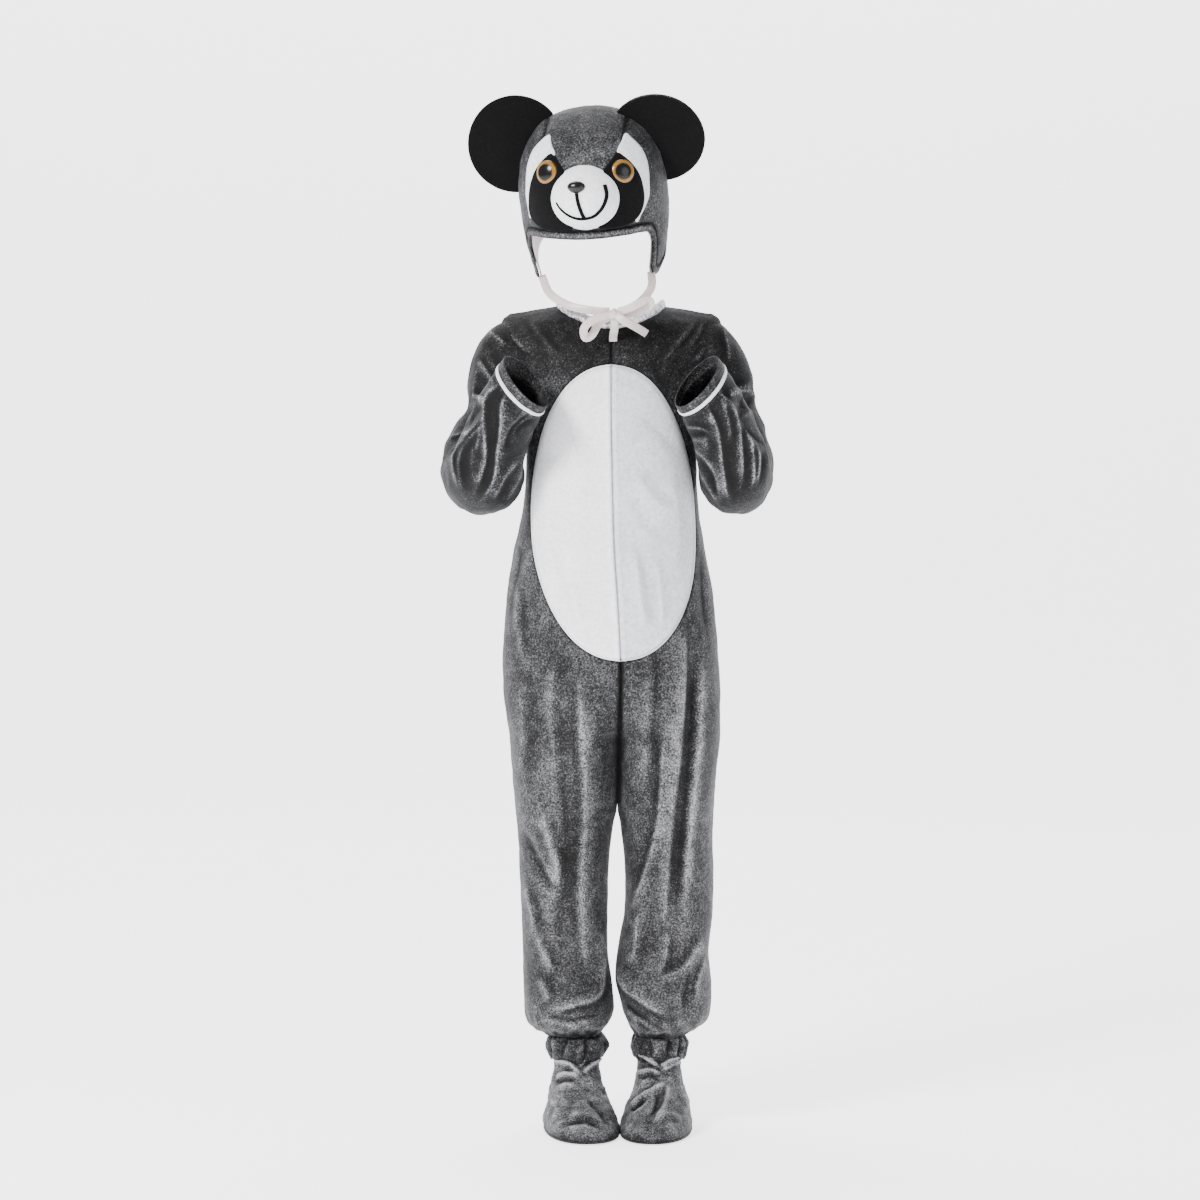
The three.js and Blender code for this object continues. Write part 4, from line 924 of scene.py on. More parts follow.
turn = turns(180)
edge_x, edge_y = NECK_WIDE * np.cos(turn), NECK_Y + NECK_DEEP * np.sin(turn)
base = shoulder_level(edge_x, edge_y)
section = [(1.6, -1), (2, 1.5), (1.2, 4.5), (-0.6, 7.2), (-2.2, 7.8), (-3.4, 6.6), (-2.8, 3), (-1.6, -1)]
points = np.stack(
    [
        np.stack([(NECK_WIDE + out) * np.cos(turn), NECK_Y + (NECK_DEEP + out) * np.sin(turn), base + up], -1)
        for out, up in section
    ],
    0,
)
points += 0.7 * ruffled(points, 7, 17)[..., None] * [1, 1, 0.8]
middle = points.mean(0, keepdims=True)
piece = cloth("neck_binding", points, middle, silver, closed=True, thick=0.5)
put_on(piece, "neck_binding")


# Ankle frills
# Gathered velour below the ankle elastic, about 28 mm deep. It puffs out in uneven lumps between the stitches
# that hold the elastic, and its hem turns in over the bootie.

ANKLE_WIDE, ANKLE_DEEP = 25.6, 27.6
# Each ankle: its place, the turn of its foot in degrees, and its size as a share
ankles = {
    "right": (-36.5, 8, 7, 0.97),
    "left": (51.5, 8, -5, 0.94),
}
for name, (ankle_x, ankle_y, _, scale) in ankles.items():
    side = -1 if name == "right" else 1
    down = np.linspace(0, 1, 24)[:, None]
    turn = turns(190)[None, :]
    wander = 1.4 * np.sin(2 * turn + side) + 0.9 * np.sin(3 * turn + 2 * side) + 0.5 * np.sin(5 * turn) * down
    lumps = np.abs(np.sin(3.5 * turn + wander + 0.5 * down)) ** 0.7
    puff = np.sin(np.pi * np.clip(down, 0, 1) ** 0.85) ** 0.8
    out = 0.8 + 2.4 * down + puff * (0.4 + 5.6 * lumps)
    edge = 1.6 * np.sin(3 * turn + side) + 1.0 * np.sin(7 * turn)
    points = np.stack(
        [
            ankle_x + (ANKLE_WIDE + out) * scale * np.cos(turn),
            ankle_y + (ANKLE_DEEP + out) * scale * np.sin(turn),
            -768 - 27 * down - (1.5 + edge) * down**2 + 0 * out,
        ],
        -1,
    )
    flat = np.stack([np.cos(turn) + 0 * out, np.sin(turn) + 0 * out, 0 * out], -1)
    height = 3.2 * ruffled(points * [1, 1, 0.7], 12, 18) * puff + 1.0 * ruffled(points, 5, 19) * puff
    points += height[..., None] * flat
    # Painted shade: ridges lighter and hollows darker, and the top of the frill darker under the hem of the
    # leg.
    light = 0.24 * over_neighbours(out + height, 16, True) - 0.5 * (1 - smooth(down, 0, 0.18)) - 0.06
    centre = np.array([ankle_x, ankle_y, -782])
    piece = cloth(f"ankle_frill_{name}", points, centre, velour, tone_and_painted_light=light, closed=True, thick=1.4)
    put_on(piece, f"ankle_frill_{name}")


# Booties
# Soft velour shoes that reach up under the frills, with slack folds over the instep and a flat velour sole.

# Each row: level, heel and toe behind and before the ankle, and half the width
bootie_rows = [
    (-772, 26, -26, 24),
    (-790, 26, -26, 23),
    (-808, 30, -29, 25),
    (-824, 34, -42, 28),
    (-838, 37, -72, 33),
    (-849, 38, -98, 37),
    (-858, 38, -114, 40),
    (-865, 36, -119, 40),
]
BOOTIE_ROUNDNESS = 2.25
bootie_folds = {
    "right": [
        ([(-62, -797), (-46, -800), (-38, -807), (-32, -815)], 4, 3, 4, 0.35),
        ([(-31, -813), (-22, -802), (-4, -790)], 4, 3, 4, 0.35),
        ([(-33, -805), (-28, -797), (-18, -787)], 3, 3, 2.4, 0.3),
        ([(-60, -817), (-48, -812), (-34, -815)], 3.5, 3, 3.2, 0.35),
        ([(-60, -822), (-48, -819), (-37, -820)], 3, 4, -2.2, -0.3),
        ([(-56, -827), (-46, -825), (-38, -826)], 4, 3, 1.6, 0.2),
        ([(-12, -826), (0, -831), (9, -837), (15, -845)], 4, 3, 2.6, 0.25),
        ([(-10, -831), (-1, -836), (7, -843)], 3, 3.5, -2.8, -0.5),
        ([(-26, -840), (-12, -855), (1, -869)], 3, 4, -1.8, -0.22),
        ([(-44, -858), (-28, -856), (-12, -862)], 5, 5, 1.4, 0.2),
        ([(-50, -868), (-28, -864), (-6, -872)], 4, 4, -1.6, -0.25),
        ([(-64, -838), (-58, -850), (-60, -864)], 5, 5, 1.5, 0.15),
    ],
    "left": [
        ([(23, -786), (40, -796), (52, -806)], 3, 4, 4, 0.35),
        ([(52, -806), (62, -797), (77, -793)], 4, 3, 4, 0.35),
        ([(55, -810), (65, -803), (77, -799)], 3, 3, 2.4, 0.3),
        ([(28, -811), (42, -808), (53, -813)], 3.5, 3, 3.2, 0.35),
        ([(30, -818), (42, -815), (52, -819)], 3, 4, -2, -0.28),
        ([(60, -822), (60, -834), (56, -849), (45, -866)], 3, 5, 2.6, 0.3),
        ([(20, -848), (32, -838), (46, -828), (60, -822)], 4, 3, 2.8, 0.35),
        ([(21, -853), (31, -845), (38, -838)], 3, 3, -2.4, -0.4),
        ([(50, -832), (48, -846), (42, -858)], 4, 4, -2.4, -0.35),
        ([(50, -862), (64, -856), (78, -862)], 5, 5, 1.4, 0.18),
        ([(72, -822), (80, -840), (80, -856)], 5, 5, 1.6, 0.18),
    ],
}
BOOTIE_TOP, SOLE_EDGE = -772, -865


def on_foot(ankle, x, y, z):
    """Places of a bootie on its foot, from places in its own frame."""
    a = math.radians(ankle[2])
    across = ankle[0] + x * math.cos(a) - y * math.sin(a)
    return np.stack([across, ankle[1] + x * math.sin(a) + y * math.cos(a), z[:, None] + 0 * x], -1)


for name, ankle in ankles.items():
    ankle_x, ankle_y, _, scale = ankle
    path = np.linspace(BOOTIE_TOP, SOLE_EDGE, 400)
    toe = read_rows(bootie_rows, path)[1]
    levels = spread(path[:, None], 84, along=np.stack([path, toe], -1))[:, 0]
    heel, toe, half = read_rows(bootie_rows, levels)
    turn = turns(130)
    x = (half * scale)[:, None] * squared(np.cos(turn), BOOTIE_ROUNDNESS)
    y = ((heel + toe) / 2)[:, None] + ((heel - toe) / 2)[:, None] * squared(np.sin(turn), BOOTIE_ROUNDNESS)
    points = on_foot(ankle, x, y, levels)
    centre = np.array([ankle_x, ankle_y - 10, -850])
    normals = normals_of(points, centre, True)[0]
    height, painted_light_and_tone = fold_relief(points, bootie_folds[name])
    faces_front = smooth(-normals[..., 1], -0.15, 0.2)
    height, painted_light_and_tone = height * faces_front, painted_light_and_tone * faces_front
    height = 1.35 * height + 1.9 * ruffled(points, 17, 20) + 0.9 * ruffled(points, 7, 21)
    ankle_folds = smooth(levels, -832, -815)[:, None] * (1 - faces_front)
    height += 2.0 * ankle_folds * ruffled(points * [0.5, 0.5, 1.6], 12, 22)
    height *= smooth(levels, -866, -858)[:, None]
    # Painted shade: ridges lighter, hollows darker and the bottom edge darker next to the floor, over random
    # tone and a lighter tone overall.
    painted_light_and_tone = painted_light_and_tone + 0.1 * ruffled(points, 26, 23) + 0.18 * over_neighbours(height, 14, True) + 0.18
    painted_light_and_tone -= 0.2 * (1 - smooth(levels, -866, -856))[:, None]
    moved = points + normals * height[..., None]
    piece = cloth(f"bootie_{name}", moved, centre, velour, tone_and_painted_light=painted_light_and_tone, closed=True, thick=1.4)
    put_on(piece, f"bootie_{name}")

    share = np.concatenate([np.ones(3), np.linspace(0.97, 0.02, 16)])[:, None]
    drop_z = np.concatenate([[-864.6, -866.3, -867.6], np.full(16, -867.9)])
    grow = np.concatenate([[0.4, 0.5, 0.0], np.zeros(16)])[:, None]
    heel, toe, half = (float(v[0]) for v in read_rows(bootie_rows, np.array([SOLE_EDGE])))
    x = (half * scale + grow) * share * squared(np.cos(turn), BOOTIE_ROUNDNESS)
    y = (heel + toe) / 2 + ((heel - toe) / 2 + grow) * share * squared(np.sin(turn), BOOTIE_ROUNDNESS)
    points = on_foot(ankle, x, y, drop_z)
    piece = cloth(f"bootie_sole_{name}", points, centre, velour, tone_and_painted_light=0 * x - 0.1, closed=True, thick=1.4)
    put_on(piece, f"bootie_sole_{name}")


# Cap
# A close velour cap with ear flaps: a crown strip between two sides, a band round its lower edge and a satin
# lining. It is bowed and turned as it is worn.

cap_turn = np.array(Euler((math.radians(22), math.radians(-2), math.radians(-8)), "XYZ").to_matrix())
cap_place = np.array([-18, -22, 122])
DOME_SIDE, DOME_FRONT, DOME_TOP, DOME_BELOW = 77, 93, 93, 150
DOME_ROUNDNESS = 2.5
CROWN_HALF = 42
cap_edge = np.array(
    [
        (-110, -12), (-90, -14.5), (-78, -16.5), (-64, -19), (-53, -24), (-47, -36), (-45, -52), (-42, -68),
        (-34, -77), (-18, -79), (-2, -72), (20, -62), (45, -56), (75, -52), (110, -52),
    ],
    float,
)


def worn(points):
    """Places of the cap as it is worn, from places in its own upright frame."""
    return points @ cap_turn.T + cap_place


def on_dome(unit, grow):
    """Points of the dome, grown by a distance, from points of a unit ball. Above its widest level the dome is
    squared off from side to side, so that its top is flat."""
    x, y, z = unit[..., 0], unit[..., 1], unit[..., 2]
    round_reach = np.maximum(np.hypot(x, z), 1e-9)
    square_reach = np.abs(x) ** DOME_ROUNDNESS + np.maximum(np.abs(z), 1e-9) ** DOME_ROUNDNESS
    out = np.where(z < 0, 1, round_reach / square_reach ** (1 / DOME_ROUNDNESS))
    tall = np.where(z < 0, DOME_BELOW, DOME_TOP)
    return np.stack([x * out * (DOME_SIDE + grow), y * (DOME_FRONT + grow), z * out * (tall + grow)], -1)


def dome_reach(x, z, grow):
    """How far places seen from the cap's front lie from its middle, as a share of the dome's reach there."""
    across, up = np.abs(x) / (DOME_SIDE + grow), np.maximum(np.abs(z), 1e-9)
    above = (across**DOME_ROUNDNESS + (up / (DOME_TOP + grow)) ** DOME_ROUNDNESS) ** (1 / DOME_ROUNDNESS)
    return np.where(z < 0, np.hypot(across, up / (DOME_BELOW + grow)), above)


def dome_front(x, z, grow):
    """Places of the cap's front, grown by a distance, from where they are seen from its front."""
    deep = np.sqrt(np.maximum(1 - dome_reach(x, z, grow) ** 2, 0))
    return np.stack([x, -(DOME_FRONT + grow) * deep, z], -1)


def from_edge(y, z):
    """Distance of places from the cap's lower edge, seen from its side, above 0 on the cap."""
    return beside(smooth_path(cap_edge, 160), y, z)[1]


# The cap's lower edge on the dome, and a level line above the band that the rows of cloth run up to
line = smooth_path(cap_edge, 900)
square = 1 - (line[:, 0] / DOME_FRONT) ** 2 - (line[:, 1] / DOME_BELOW) ** 2
line = line[square > 0]
edge_x = DOME_SIDE * np.sqrt(square[square > 0])
half_edge = np.stack([edge_x / DOME_SIDE, line[:, 0] / DOME_FRONT, line[:, 1] / DOME_BELOW], -1)
half_edge = np.concatenate([[[0, *half_edge[0, 1:]]], half_edge, [[0, *half_edge[-1, 1:]]]])
half_edge /= np.linalg.norm(half_edge, axis=1, keepdims=True)
half_edge = spread(half_edge, 150, along=on_dome(half_edge, 0))
half_edge /= np.linalg.norm(half_edge, axis=1, keepdims=True)
edge_unit = np.concatenate([half_edge * [-1, 1, 1], half_edge[-2:0:-1]])
edge_angle = np.unwrap(np.arctan2(edge_unit[:, 1], edge_unit[:, 0]))
even_angle = edge_angle[0] + turns(len(edge_angle)) * np.sign(edge_angle[10] - edge_angle[0])
upper_angle = 0.45 * edge_angle + 0.55 * even_angle
tilt = math.radians(24)
upper_unit = np.stack([np.cos(upper_angle), np.sin(upper_angle), 0 * upper_angle + math.tan(tilt)], -1)
upper_unit *= math.cos(tilt)


def slerp(a, b, t):
    """Unit vectors part of the way from a to b along the great circle."""
    whole = np.arccos(np.clip((a * b).sum(-1, keepdims=True), -1, 1))
    return (np.sin((1 - t) * whole) * a + np.sin(t * whole) * b) / np.maximum(np.sin(whole), 1e-9)


BAND, BAND_ROWS = 8.5, 6
low, high = np.zeros(len(edge_unit)), np.ones(len(edge_unit))
for _ in range(22):
    half = (low + high) / 2
    spot = on_dome(slerp(edge_unit, upper_unit, half[:, None]), 0)
    under = from_edge(spot[:, 1], spot[:, 2]) < BAND
    low, high = np.where(under, half, low), np.where(under, high, half)
band_share = low
dome_rows = []
for share in np.linspace(0, 1, BAND_ROWS):
    dome_rows.append(slerp(edge_unit, upper_unit, (band_share * share)[:, None]))
for share in np.linspace(0, 1, 24)[1:]:
    dome_rows.append(slerp(edge_unit, upper_unit, (band_share + (1 - band_share) * share)[:, None]))
pole = np.repeat([[0.0, 0.0, 1.0]], len(edge_unit), 0)
for share in np.linspace(0, 0.998, 36)[1:]:
    dome_rows.append(slerp(upper_unit, pole, np.full((len(edge_unit), 1), share)))
dome_unit = np.stack(dome_rows)
dome_points = on_dome(dome_unit, 0)
dome_middle = np.array([0, 0, 0])
dome_normals = normals_of(dome_points, dome_middle, True)[0]
to_seam = np.abs(np.abs(dome_points[..., 0]) - CROWN_HALF)
edge_far = from_edge(dome_points[..., 1], dome_points[..., 2])
dome_height = 1.0 * ruffled(dome_points, 30, 24) + 0.5 * ruffled(dome_points, 11, 25)
dome_height += 1.0 - 1.8 * bell(to_seam, 2.2) * (edge_far > BAND)
dome_height -= 1.5 * bell(edge_far - BAND, 1.6)
dome_height += 1.0 * ruffled(dome_points * [0.3, 0.3, 1.5], 9, 26) * bell(edge_far, 22)
dome_height += 1.0 * bell(edge_far - BAND / 2, 2.8)
# Painted shade in the crown and band seams, a painted highlight on the band's puffed middle, and ridges
# lighter and hollows darker, over random tone.
dome_painted_light_and_tone = 0.1 * ruffled(dome_points, 35, 27) - 0.35 * bell(to_seam, 1.6) * (edge_far > BAND)
dome_painted_light_and_tone -= 0.35 * bell(edge_far - BAND, 1.4)
dome_painted_light_and_tone += 0.12 * bell(edge_far - BAND / 2, 2.4)
dome_painted_light_and_tone += 0.1 * over_neighbours(dome_height, 10, True)
dome_cloth = dome_points + dome_normals * dome_height[..., None]
for name, low_x, high_x, cut in (
    ("cap_band", -DOME_SIDE - 9, DOME_SIDE + 9, (0.018, 0.72, 0.0085)),
    ("cap_crown", -CROWN_HALF, CROWN_HALF, (0.1, 0.36, 0.031)),
    ("cap_side_right", -DOME_SIDE - 9, -CROWN_HALF, (0.17, 0.19, 0.022)),
    ("cap_side_left", CROWN_HALF, DOME_SIDE + 9, (0.17, 0.19, 0.022)),
):
    rows = slice(0, BAND_ROWS) if name == "cap_band" else slice(BAND_ROWS - 1, None)
    part = dome_cloth[rows].copy()
    drop = (part[..., 0] <= low_x) | (part[..., 0] >= high_x)
    part[..., 0] = np.clip(part[..., 0], low_x, high_x)
    piece = cloth(
        name, worn(part), worn(dome_middle), velour, tone_and_painted_light=dome_painted_light_and_tone[rows], closed=True, drop=drop, thick=1.3
    )
    put_on(piece, name)

satin, tree = new_material("pinkish-white satin")
weave = noise_of(tree, 500)
tint = ramp_of(tree, weave, (0, 0xB4A3A1), (1, 0xDACCCA))
rough = bump_of(tree, weave, 0.2, 0.0005)
finish_material(
    tree,
    {
        "Base Color": tint,
        "Normal": rough,
        "Roughness": 0.35,
        "Anisotropic": 0.5,
        "Sheen Weight": 0.15,
    },
)
lining_rows = list(range(BAND_ROWS)) + list(range(BAND_ROWS + 1, len(dome_unit), 2))
lining_unit = dome_unit[lining_rows][:, ::2]
lining_far = edge_far[lining_rows][:, ::2, None]
rolled = smooth(lining_far, 0, 3)
lining = on_dome(lining_unit, -1.6) * (1 - rolled) + on_dome(lining_unit, -2.8) * rolled
piece = cloth("cap_lining", worn(lining), worn(dome_middle), satin, closed=True, thick=0.8)
put_on(piece, "cap_lining")


# Eye and brow patches
# Black felt patches round the eyes, and white fleece brows above them, sewn flat on the front of the cap.

felt, tree = new_material("black wool felt")
fibres = noise_of(tree, 800, detail=3, roughness=0.7)
tint = ramp_of(tree, fibres, (0, 0x020202), (1, 0x0F0F10))
rough = bump_of(tree, fibres, 0.5, 0.001)
finish_material(
    tree,
    {
        "Base Color": tint,
        "Normal": rough,
        "Roughness": 0.95,
        "Specular IOR Level": 0.08,
        "Sheen Weight": 0.03,
    },
)


def smooth_loop(corners, count):
    """A smooth closed curve through corners, with count points spaced evenly along it."""
    corners = np.array(corners, float)
    loop = np.concatenate([corners[-3:], corners, corners[:3]])
    line = smooth_path(loop, 40 * len(loop))
    first = np.argmin(np.linalg.norm(line[: len(line) // 3] - corners[0], axis=1))
    last = len(line) // 2 + np.argmin(np.linalg.norm(line[len(line) // 2 :] - corners[0], axis=1))
    return spread(line[first : last + 1], count, endpoint=False)


patch_outlines = {
    "brow_patch_right": [
        (-34.8, 81.8), (-46, 74.4), (-53.7, 66.6), (-58.5, 57.5), (-61, 48.6), (-62.4, 37.4), (-63, 25.2),
        (-62.3, 15.6), (-60.5, 4.7), (-58.8, 0.3), (-48, 25), (-38, 50), (-27.8, 66.5), (-32, 75),
    ],
    "brow_patch_left": [
        (43.2, 78.3), (49.8, 72.9), (57.4, 64.2), (62, 55.5),
        (64.8, 46.1), (65.8, 37), (66.1, 25.5), (65.1, 15.1),
        (61.4, 7.2), (57.1, 0.4), (51.6, -5), (46, 25), (42, 45), (36, 66), (40, 73.5),
    ],
    "eye_patch_right": [
        (-31, 69), (-39, 64.3), (-46.6, 56.3), (-53.3, 45.4),
        (-57.5, 32.5), (-59.5, 19.5), (-60, 7.5), (-57.3, -0.3),
        (-51.2, -5), (-41.3, -7.4), (-24, -6), (-10, 0), (-10, 30), (-16, 52), (-24, 63),
    ],
    "eye_patch_left": [
        (36.4, 66.8), (44.1, 61.5), (50.9, 54.2), (56.4, 44.6),
        (60, 33.9), (61.3, 21.3), (60.6, 11.6), (57.3, 3),
        (52.4, -2.6), (46, -5.4), (30, -6), (14, 0), (14, 30), (22, 52), (30, 61),
    ],
}
for name, outline in patch_outlines.items():
    is_brow = name.startswith("brow")
    material, lift, slot = (fleece, 1.3, "fleece") if is_brow else (felt, 2.2, "felt")
    loop = smooth_loop(outline, 120)
    centre = loop.mean(0)
    share = np.sin(np.linspace(0.01, np.pi / 2, 18))[:, None, None]
    flat = centre + (loop - centre)[None] * share
    points = dome_front(flat[..., 0], flat[..., 1], 1.0)
    middle = np.array([0, 0, 20])
    normals = normals_of(points, middle, True)[0]
    away = np.linalg.norm(flat - loop[None], axis=-1)
    height = lift * smooth(away, -0.5, 2.2) + 0.3 * ruffled(points, 14, 28)
    cut = (0.045, 0.1, 0.0028) if is_brow else (0.065, 0.085, 0.0042)
    moved = worn(points + normals * height[..., None])
    piece = cloth(name, moved, worn(middle), material, tone_and_painted_light=0 * away, closed=True, thick=1.0)
    put_on(piece, name)


# Ears
# Flat round ears of black felt in front and grey velour behind, with a little wadding between, sewn into the
# side seams of the crown.

EAR_RADIUS, EAR_BULGE, EAR_SEAM, EAR_Y = 50, 5, 0.7, 6
for name, ear_x, ear_z, ear_lean in (("right", -79, 58.5, -16), ("left", 70, 57.5, 10)):
    for kind, material, slot, outer, inner in (
        ("ear_front", felt, "felt", 0, 2.4),
        ("ear_back", velour, "velour", 5.9, 2.7),
    ):
        turn = turns(150)
        share = np.sin(np.linspace(0.01, np.pi / 2, 26))
        radius = np.concatenate([EAR_RADIUS * share, [EAR_RADIUS + EAR_SEAM, EAR_RADIUS]])
        radius = np.concatenate([radius, EAR_RADIUS * np.array([0.9, 0.6, 0.3, 0.01])])[:, None]
        bulged = outer + np.sign(outer - inner) * EAR_BULGE * (1 - share**2)
        deep = np.concatenate([bulged, [(outer + inner) / 2], np.full(5, inner)])[:, None] + 0 * turn
        flat = np.stack([radius * np.cos(turn), deep, radius * np.sin(turn)], -1)
        deep += 1.1 * ruffled(flat, 42, 30) * smooth(radius, 0, 30)
        a = math.radians(ear_lean)
        points = np.stack(
            [
                ear_x + radius * np.cos(turn),
                EAR_Y + deep * math.cos(a) - radius * np.sin(turn) * math.sin(a),
                ear_z + deep * math.sin(a) + radius * np.sin(turn) * math.cos(a),
            ],
            -1,
        )
        points[..., 1] += 0.5 * ruffled(points, 16, 31) * smooth(radius, 0, 30)
        rho = np.sqrt(np.maximum(1 - (points[..., 1] / DOME_FRONT) ** 2, 0))
        high = np.abs(points[..., 2]) / np.where(points[..., 2] < 0, DOME_BELOW, DOME_TOP)
        power = np.where(points[..., 2] < 0, 2, DOME_ROUNDNESS)
        wall = DOME_SIDE * np.maximum(rho**power - high**power, 0) ** (1 / power)
        hidden = np.abs(points[..., 0]) < wall + 0.3
        toward = 1 if ear_x > 0 else -1
        hidden |= points[..., 0] * toward < 0
        near = hidden & (points[..., 0] * toward > 0) & (np.abs(points[..., 0]) > wall - 7)
        points[..., 0] = np.where(near, toward * (wall + 0.2), points[..., 0])
        middle = np.array([ear_x, EAR_Y + (outer + inner) / 2, ear_z])
        light = 0.1 * ruffled(points, 30, 32)
        points, middle, node = worn(points), worn(middle), f"{kind}_{name}"
        piece = cloth(node, points, middle, material, tone_and_painted_light=light, closed=True, drop=hidden, thick=0)
        put_on(piece, node)


# Muzzle
# A stuffed oval of white fleece, with a black plastic nose and a mouth worked in black thread.

MUZZLE_PLACE = np.array([2.5, -72, 24.6])
MUZZLE_HALF = np.array([37.6, 36, 35])


def ball(lean, turn):
    """Places on a unit ball, at a lean from its front and a turn about it."""
    return np.stack([np.sin(lean) * np.cos(turn), -np.cos(lean) + 0 * turn, np.sin(lean) * np.sin(turn)], -1)


def on_muzzle(x, z, lift):
    """Places on the muzzle, seen from the cap's front, raised by a distance."""
    across, up = (x - MUZZLE_PLACE[0]) / MUZZLE_HALF[0], (z - MUZZLE_PLACE[2]) / MUZZLE_HALF[2]
    unit = np.stack([across, -np.sqrt(np.maximum(1 - across**2 - up**2, 0)), up], -1)
    return MUZZLE_PLACE + unit * (MUZZLE_HALF + lift)


turn = turns(132)
reach = np.linspace(0.005, 1, 48)
lean = reach[:, None] * math.radians(112)
unit = ball(lean, turn)
points = MUZZLE_PLACE + unit * MUZZLE_HALF
points += unit * (0.5 * ruffled(points, 22, 33))[..., None]
hidden = np.hypot(dome_reach(points[..., 0], points[..., 2], 0), points[..., 1] / DOME_FRONT) < 0.985
light = 0 * lean + 0 * turn + 0.12
piece = cloth(
    "muzzle", worn(points), worn(MUZZLE_PLACE), fleece, tone_and_painted_light=light, closed=True, drop=hidden, thick=1.0
)
put_on(piece, "muzzle")

black_plastic, tree = new_material("glossy black plastic")
ripple = noise_of(tree, 160)
gloss = add_node(tree, "ShaderNodeMapRange", {}, {"Value": ripple, "To Min": 0.16, "To Max": 0.3})
finish_material(
    tree,
    {"Base Color": linear(0x0A0A0B), "Roughness": gloss.outputs[0], "Specular IOR Level": 0.35},
)
NOSE_X, NOSE_Z, NOSE_WIDE, NOSE_DEEP, NOSE_TALL = -2.6, 45.6, 9.2, 6, 6.8
nose_place = on_muzzle(np.array(NOSE_X), np.array(NOSE_Z), 0)
turn = turns(60)
lean = np.linspace(0.02, np.pi - 0.02, 30)[:, None]
wide = NOSE_WIDE * (1 + 0.16 * np.sin(turn)) * np.ones_like(lean)
points = np.stack(
    [
        nose_place[0] + wide * np.sin(lean) * np.cos(turn),
        nose_place[1] - NOSE_DEEP * np.cos(lean) + 0 * turn,
        nose_place[2] + NOSE_TALL * np.sin(lean) * np.sin(turn) * (1 - 0.12 * np.abs(np.cos(turn))),
    ],
    -1,
)
piece = cloth("nose", worn(points), worn(nose_place), black_plastic, closed=True, thick=0)
put_on(piece, "nose")


def stitched_line(name, path, radius, material, count):
    """A thin round line of stitches along a path on the front of the cap."""
    line = smooth_path(path, count)
    along = np.gradient(line, axis=0)
    along /= np.linalg.norm(along, axis=1, keepdims=True)
    first = np.cross(along, [0, -1, 0])
    first /= np.linalg.norm(first, axis=1, keepdims=True)
    second = np.cross(along, first)
    turn = turns(8)
    size = np.asarray(radius) * np.ones(count)
    rings = line[:, None] + size[:, None, None] * (
        first[:, None] * np.cos(turn)[:, None] + second[:, None] * np.sin(turn)[:, None]
    )
    return cloth(name, rings, line[:, None], material, closed=True, thick=0)


thread, tree = new_material("black embroidery thread")
tint = ramp_of(tree, noise_of(tree, 1400), (0, 0x020203), (1, 0x0C0C0D))
finish_material(
    tree,
    {"Base Color": tint, "Roughness": 0.9, "Specular IOR Level": 0.1},
)
mouth_paths = {
    "mouth_line": [(-2.2, 40), (-1.3, 32.5), (1.1, 22.2), (3.9, 13.5)],
    "mouth_smile": [
        (-24.9, 28.5), (-20.5, 23), (-13, 17.4), (-4.3, 14),
        (3.9, 13.5), (13.4, 15.4), (20.6, 21.1), (25.2, 27.8),
        (27.3, 35.5), (25.6, 43.9),
    ],
}
for name, path in mouth_paths.items():
    line = smooth_path(path, 60)
    points = on_muzzle(line[:, 0], line[:, 1], 0.5)
    stitched = 1.9 if name == "mouth_line" else np.linspace(1.0, 2.3, 140)
    piece = stitched_line(name, worn(points), stitched, thread, 140)
    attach(piece, "root")


# Eyes
# Domed plastic safety eyes, amber round a large black pupil, pressed through the felt patches.

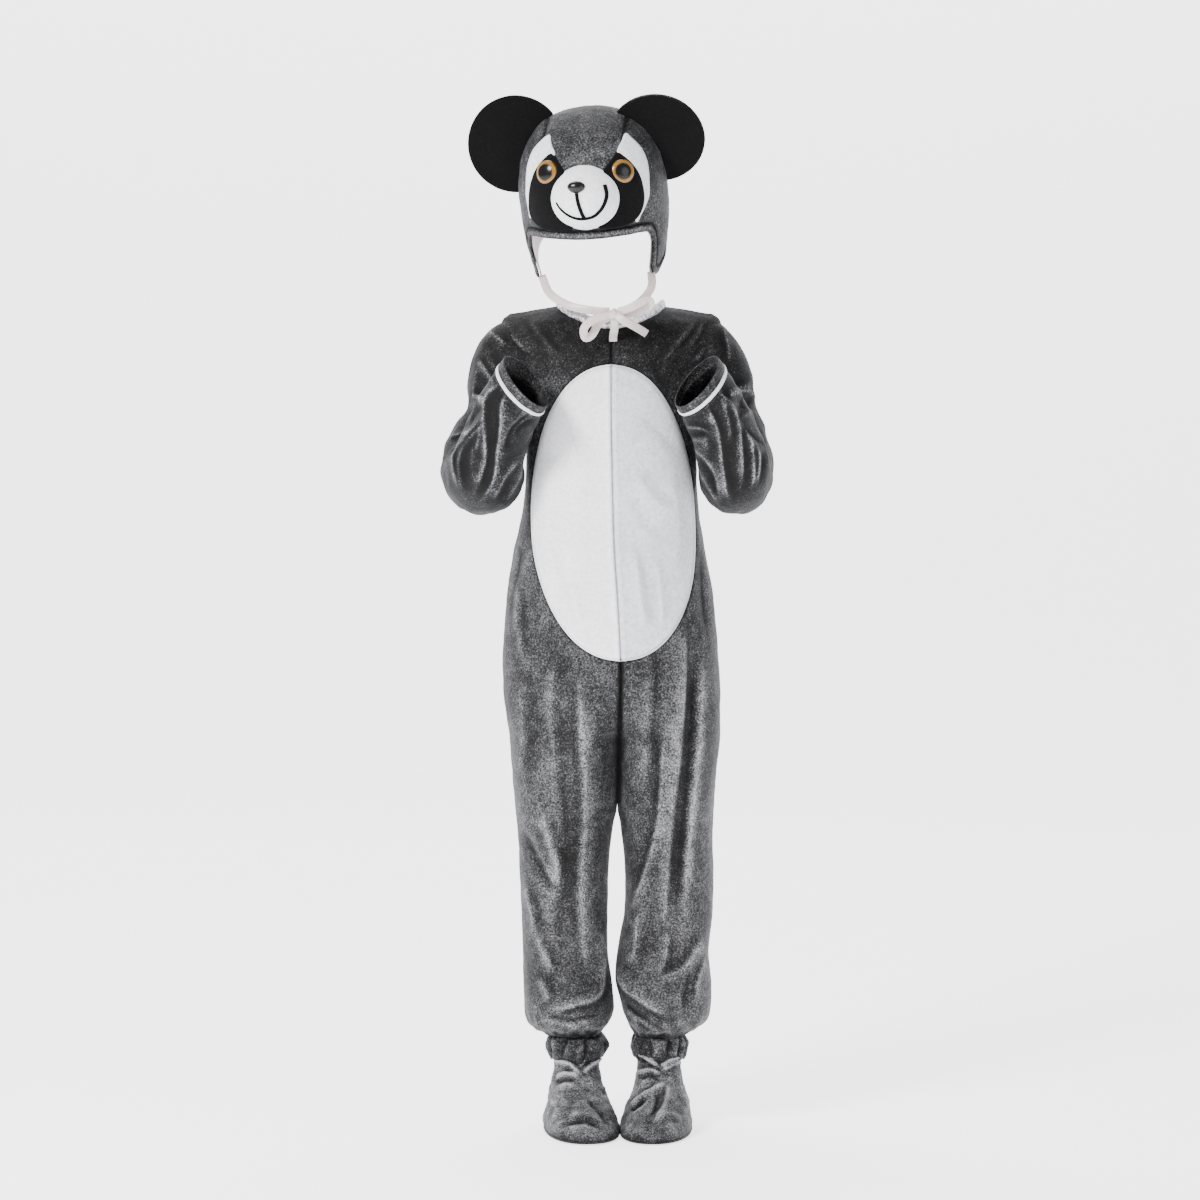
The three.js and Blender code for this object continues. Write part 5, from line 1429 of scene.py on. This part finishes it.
amber, tree = new_material("clear amber plastic")
amber_stops = [(0.66, 0x0A0A0B), (0.7, 0x3E2A0E), (0.78, 0x7C5A22), (0.93, 0x8A6224), (1, 0x3A2509)]
tint = ramp_of(tree, with_painted_light_and_tone(tree, (noise_of(tree, 420), 0.12)), *amber_stops)
finish_material(
    tree,
    {"Base Color": tint, "Roughness": 0.2, "Specular IOR Level": 0.25, "Coat Weight": 0.1},
)
EYE_RADIUS, EYE_DEEP, EYE_RISE, EYE_OUT = 13, 6, 23, 27
for side, name, place in ((-1, "eye_right", (-35.8, -69.5, 52)), (1, "eye_left", (41.4, -67.5, 49))):
    turn = turns(72)
    lean = np.linspace(0.02, math.radians(100), 34)[:, None]
    ring = np.sin(lean) * np.ones_like(turn)
    points = ball(lean, turn) * [EYE_RADIUS, EYE_DEEP, EYE_RADIUS]
    facing = Euler((math.radians(-EYE_RISE), 0, side * math.radians(EYE_OUT)), "XYZ").to_matrix()
    points = points @ np.array(facing).T + place
    piece = cloth(name, worn(points), worn(np.array(place)), amber, tone_and_painted_light=ring, closed=True, thick=0)
    put_on(piece, name)


# Ribbon ties
# Satin ribbon from each ear flap to a small bow under the cap, with two loops and two tails.

ties = {
    "tie_strap_right": [(-73, -21, 38), (-64, -38, 19), (-43, -57, 6), (-18, -67, 1), (-2, -70, 0)],
    "tie_strap_left": [(42, -37, 42), (42, -50, 26), (32, -61, 12), (20, -67, 4), (8, -70, 0)],
    "tie_loop_right": [
        (0, -75.5, -3), (-18, -80, -8), (-28, -79, -17), (-27, -75, -27),
        (-20, -73, -24), (-12, -71, -11), (-1, -72, -5),
    ],
    "tie_loop_left": [(6, -75.5, -2), (24, -80, 6), (37, -78, 12), (41, -75, 8), (34, -72, 2), (6, -72, -4)],
    "tie_end_right": [(3, -74, -4), (3.6, -73.6, -12), (3, -67, -20), (2, -60, -26), (2, -56.4, -31)],
    "tie_end_left": [(5.5, -78, -3), (11, -81.5, -8), (20, -79, -13), (29, -71, -18), (37, -62, -23)],
}
RIBBON = 8.5
for name, path in ties.items():
    line = smooth_path(path, 70)
    along = np.gradient(line, axis=0)
    along /= np.linalg.norm(along, axis=1, keepdims=True)
    wide = np.cross(along, [0, -1, 0])
    wide /= np.linalg.norm(wide, axis=1, keepdims=True)
    across = np.linspace(-1, 1, 9)
    out = np.cross(wide, along)
    cup = 0.5 * (1 - across**2)[None, :, None] * out[:, None]
    points = line[:, None] + wide[:, None] * (across * RIBBON / 2)[None, :, None] + cup
    points += 0.5 * ruffled(points, 9, 34)[..., None] * out[:, None]
    piece = cloth(name, points, line[:, None] - out[:, None] * 10, satin, thick=0.5)
    put_on(piece, name)

knot_place, knot_half = np.array([3, -74, -3]), [7, 5.6, 6]
turn = turns(60)
lean = np.linspace(0.02, np.pi - 0.02, 30)[:, None]
unit = ball(lean, turn)
points = knot_place + unit * knot_half
points += unit * (0.6 * np.sin(5 * turn) * np.sin(lean) + 0.4 * ruffled(points, 5, 35))[..., None]
piece = cloth("tie_knot", points, knot_place, satin, closed=True, thick=0)
put_on(piece, "tie_knot")
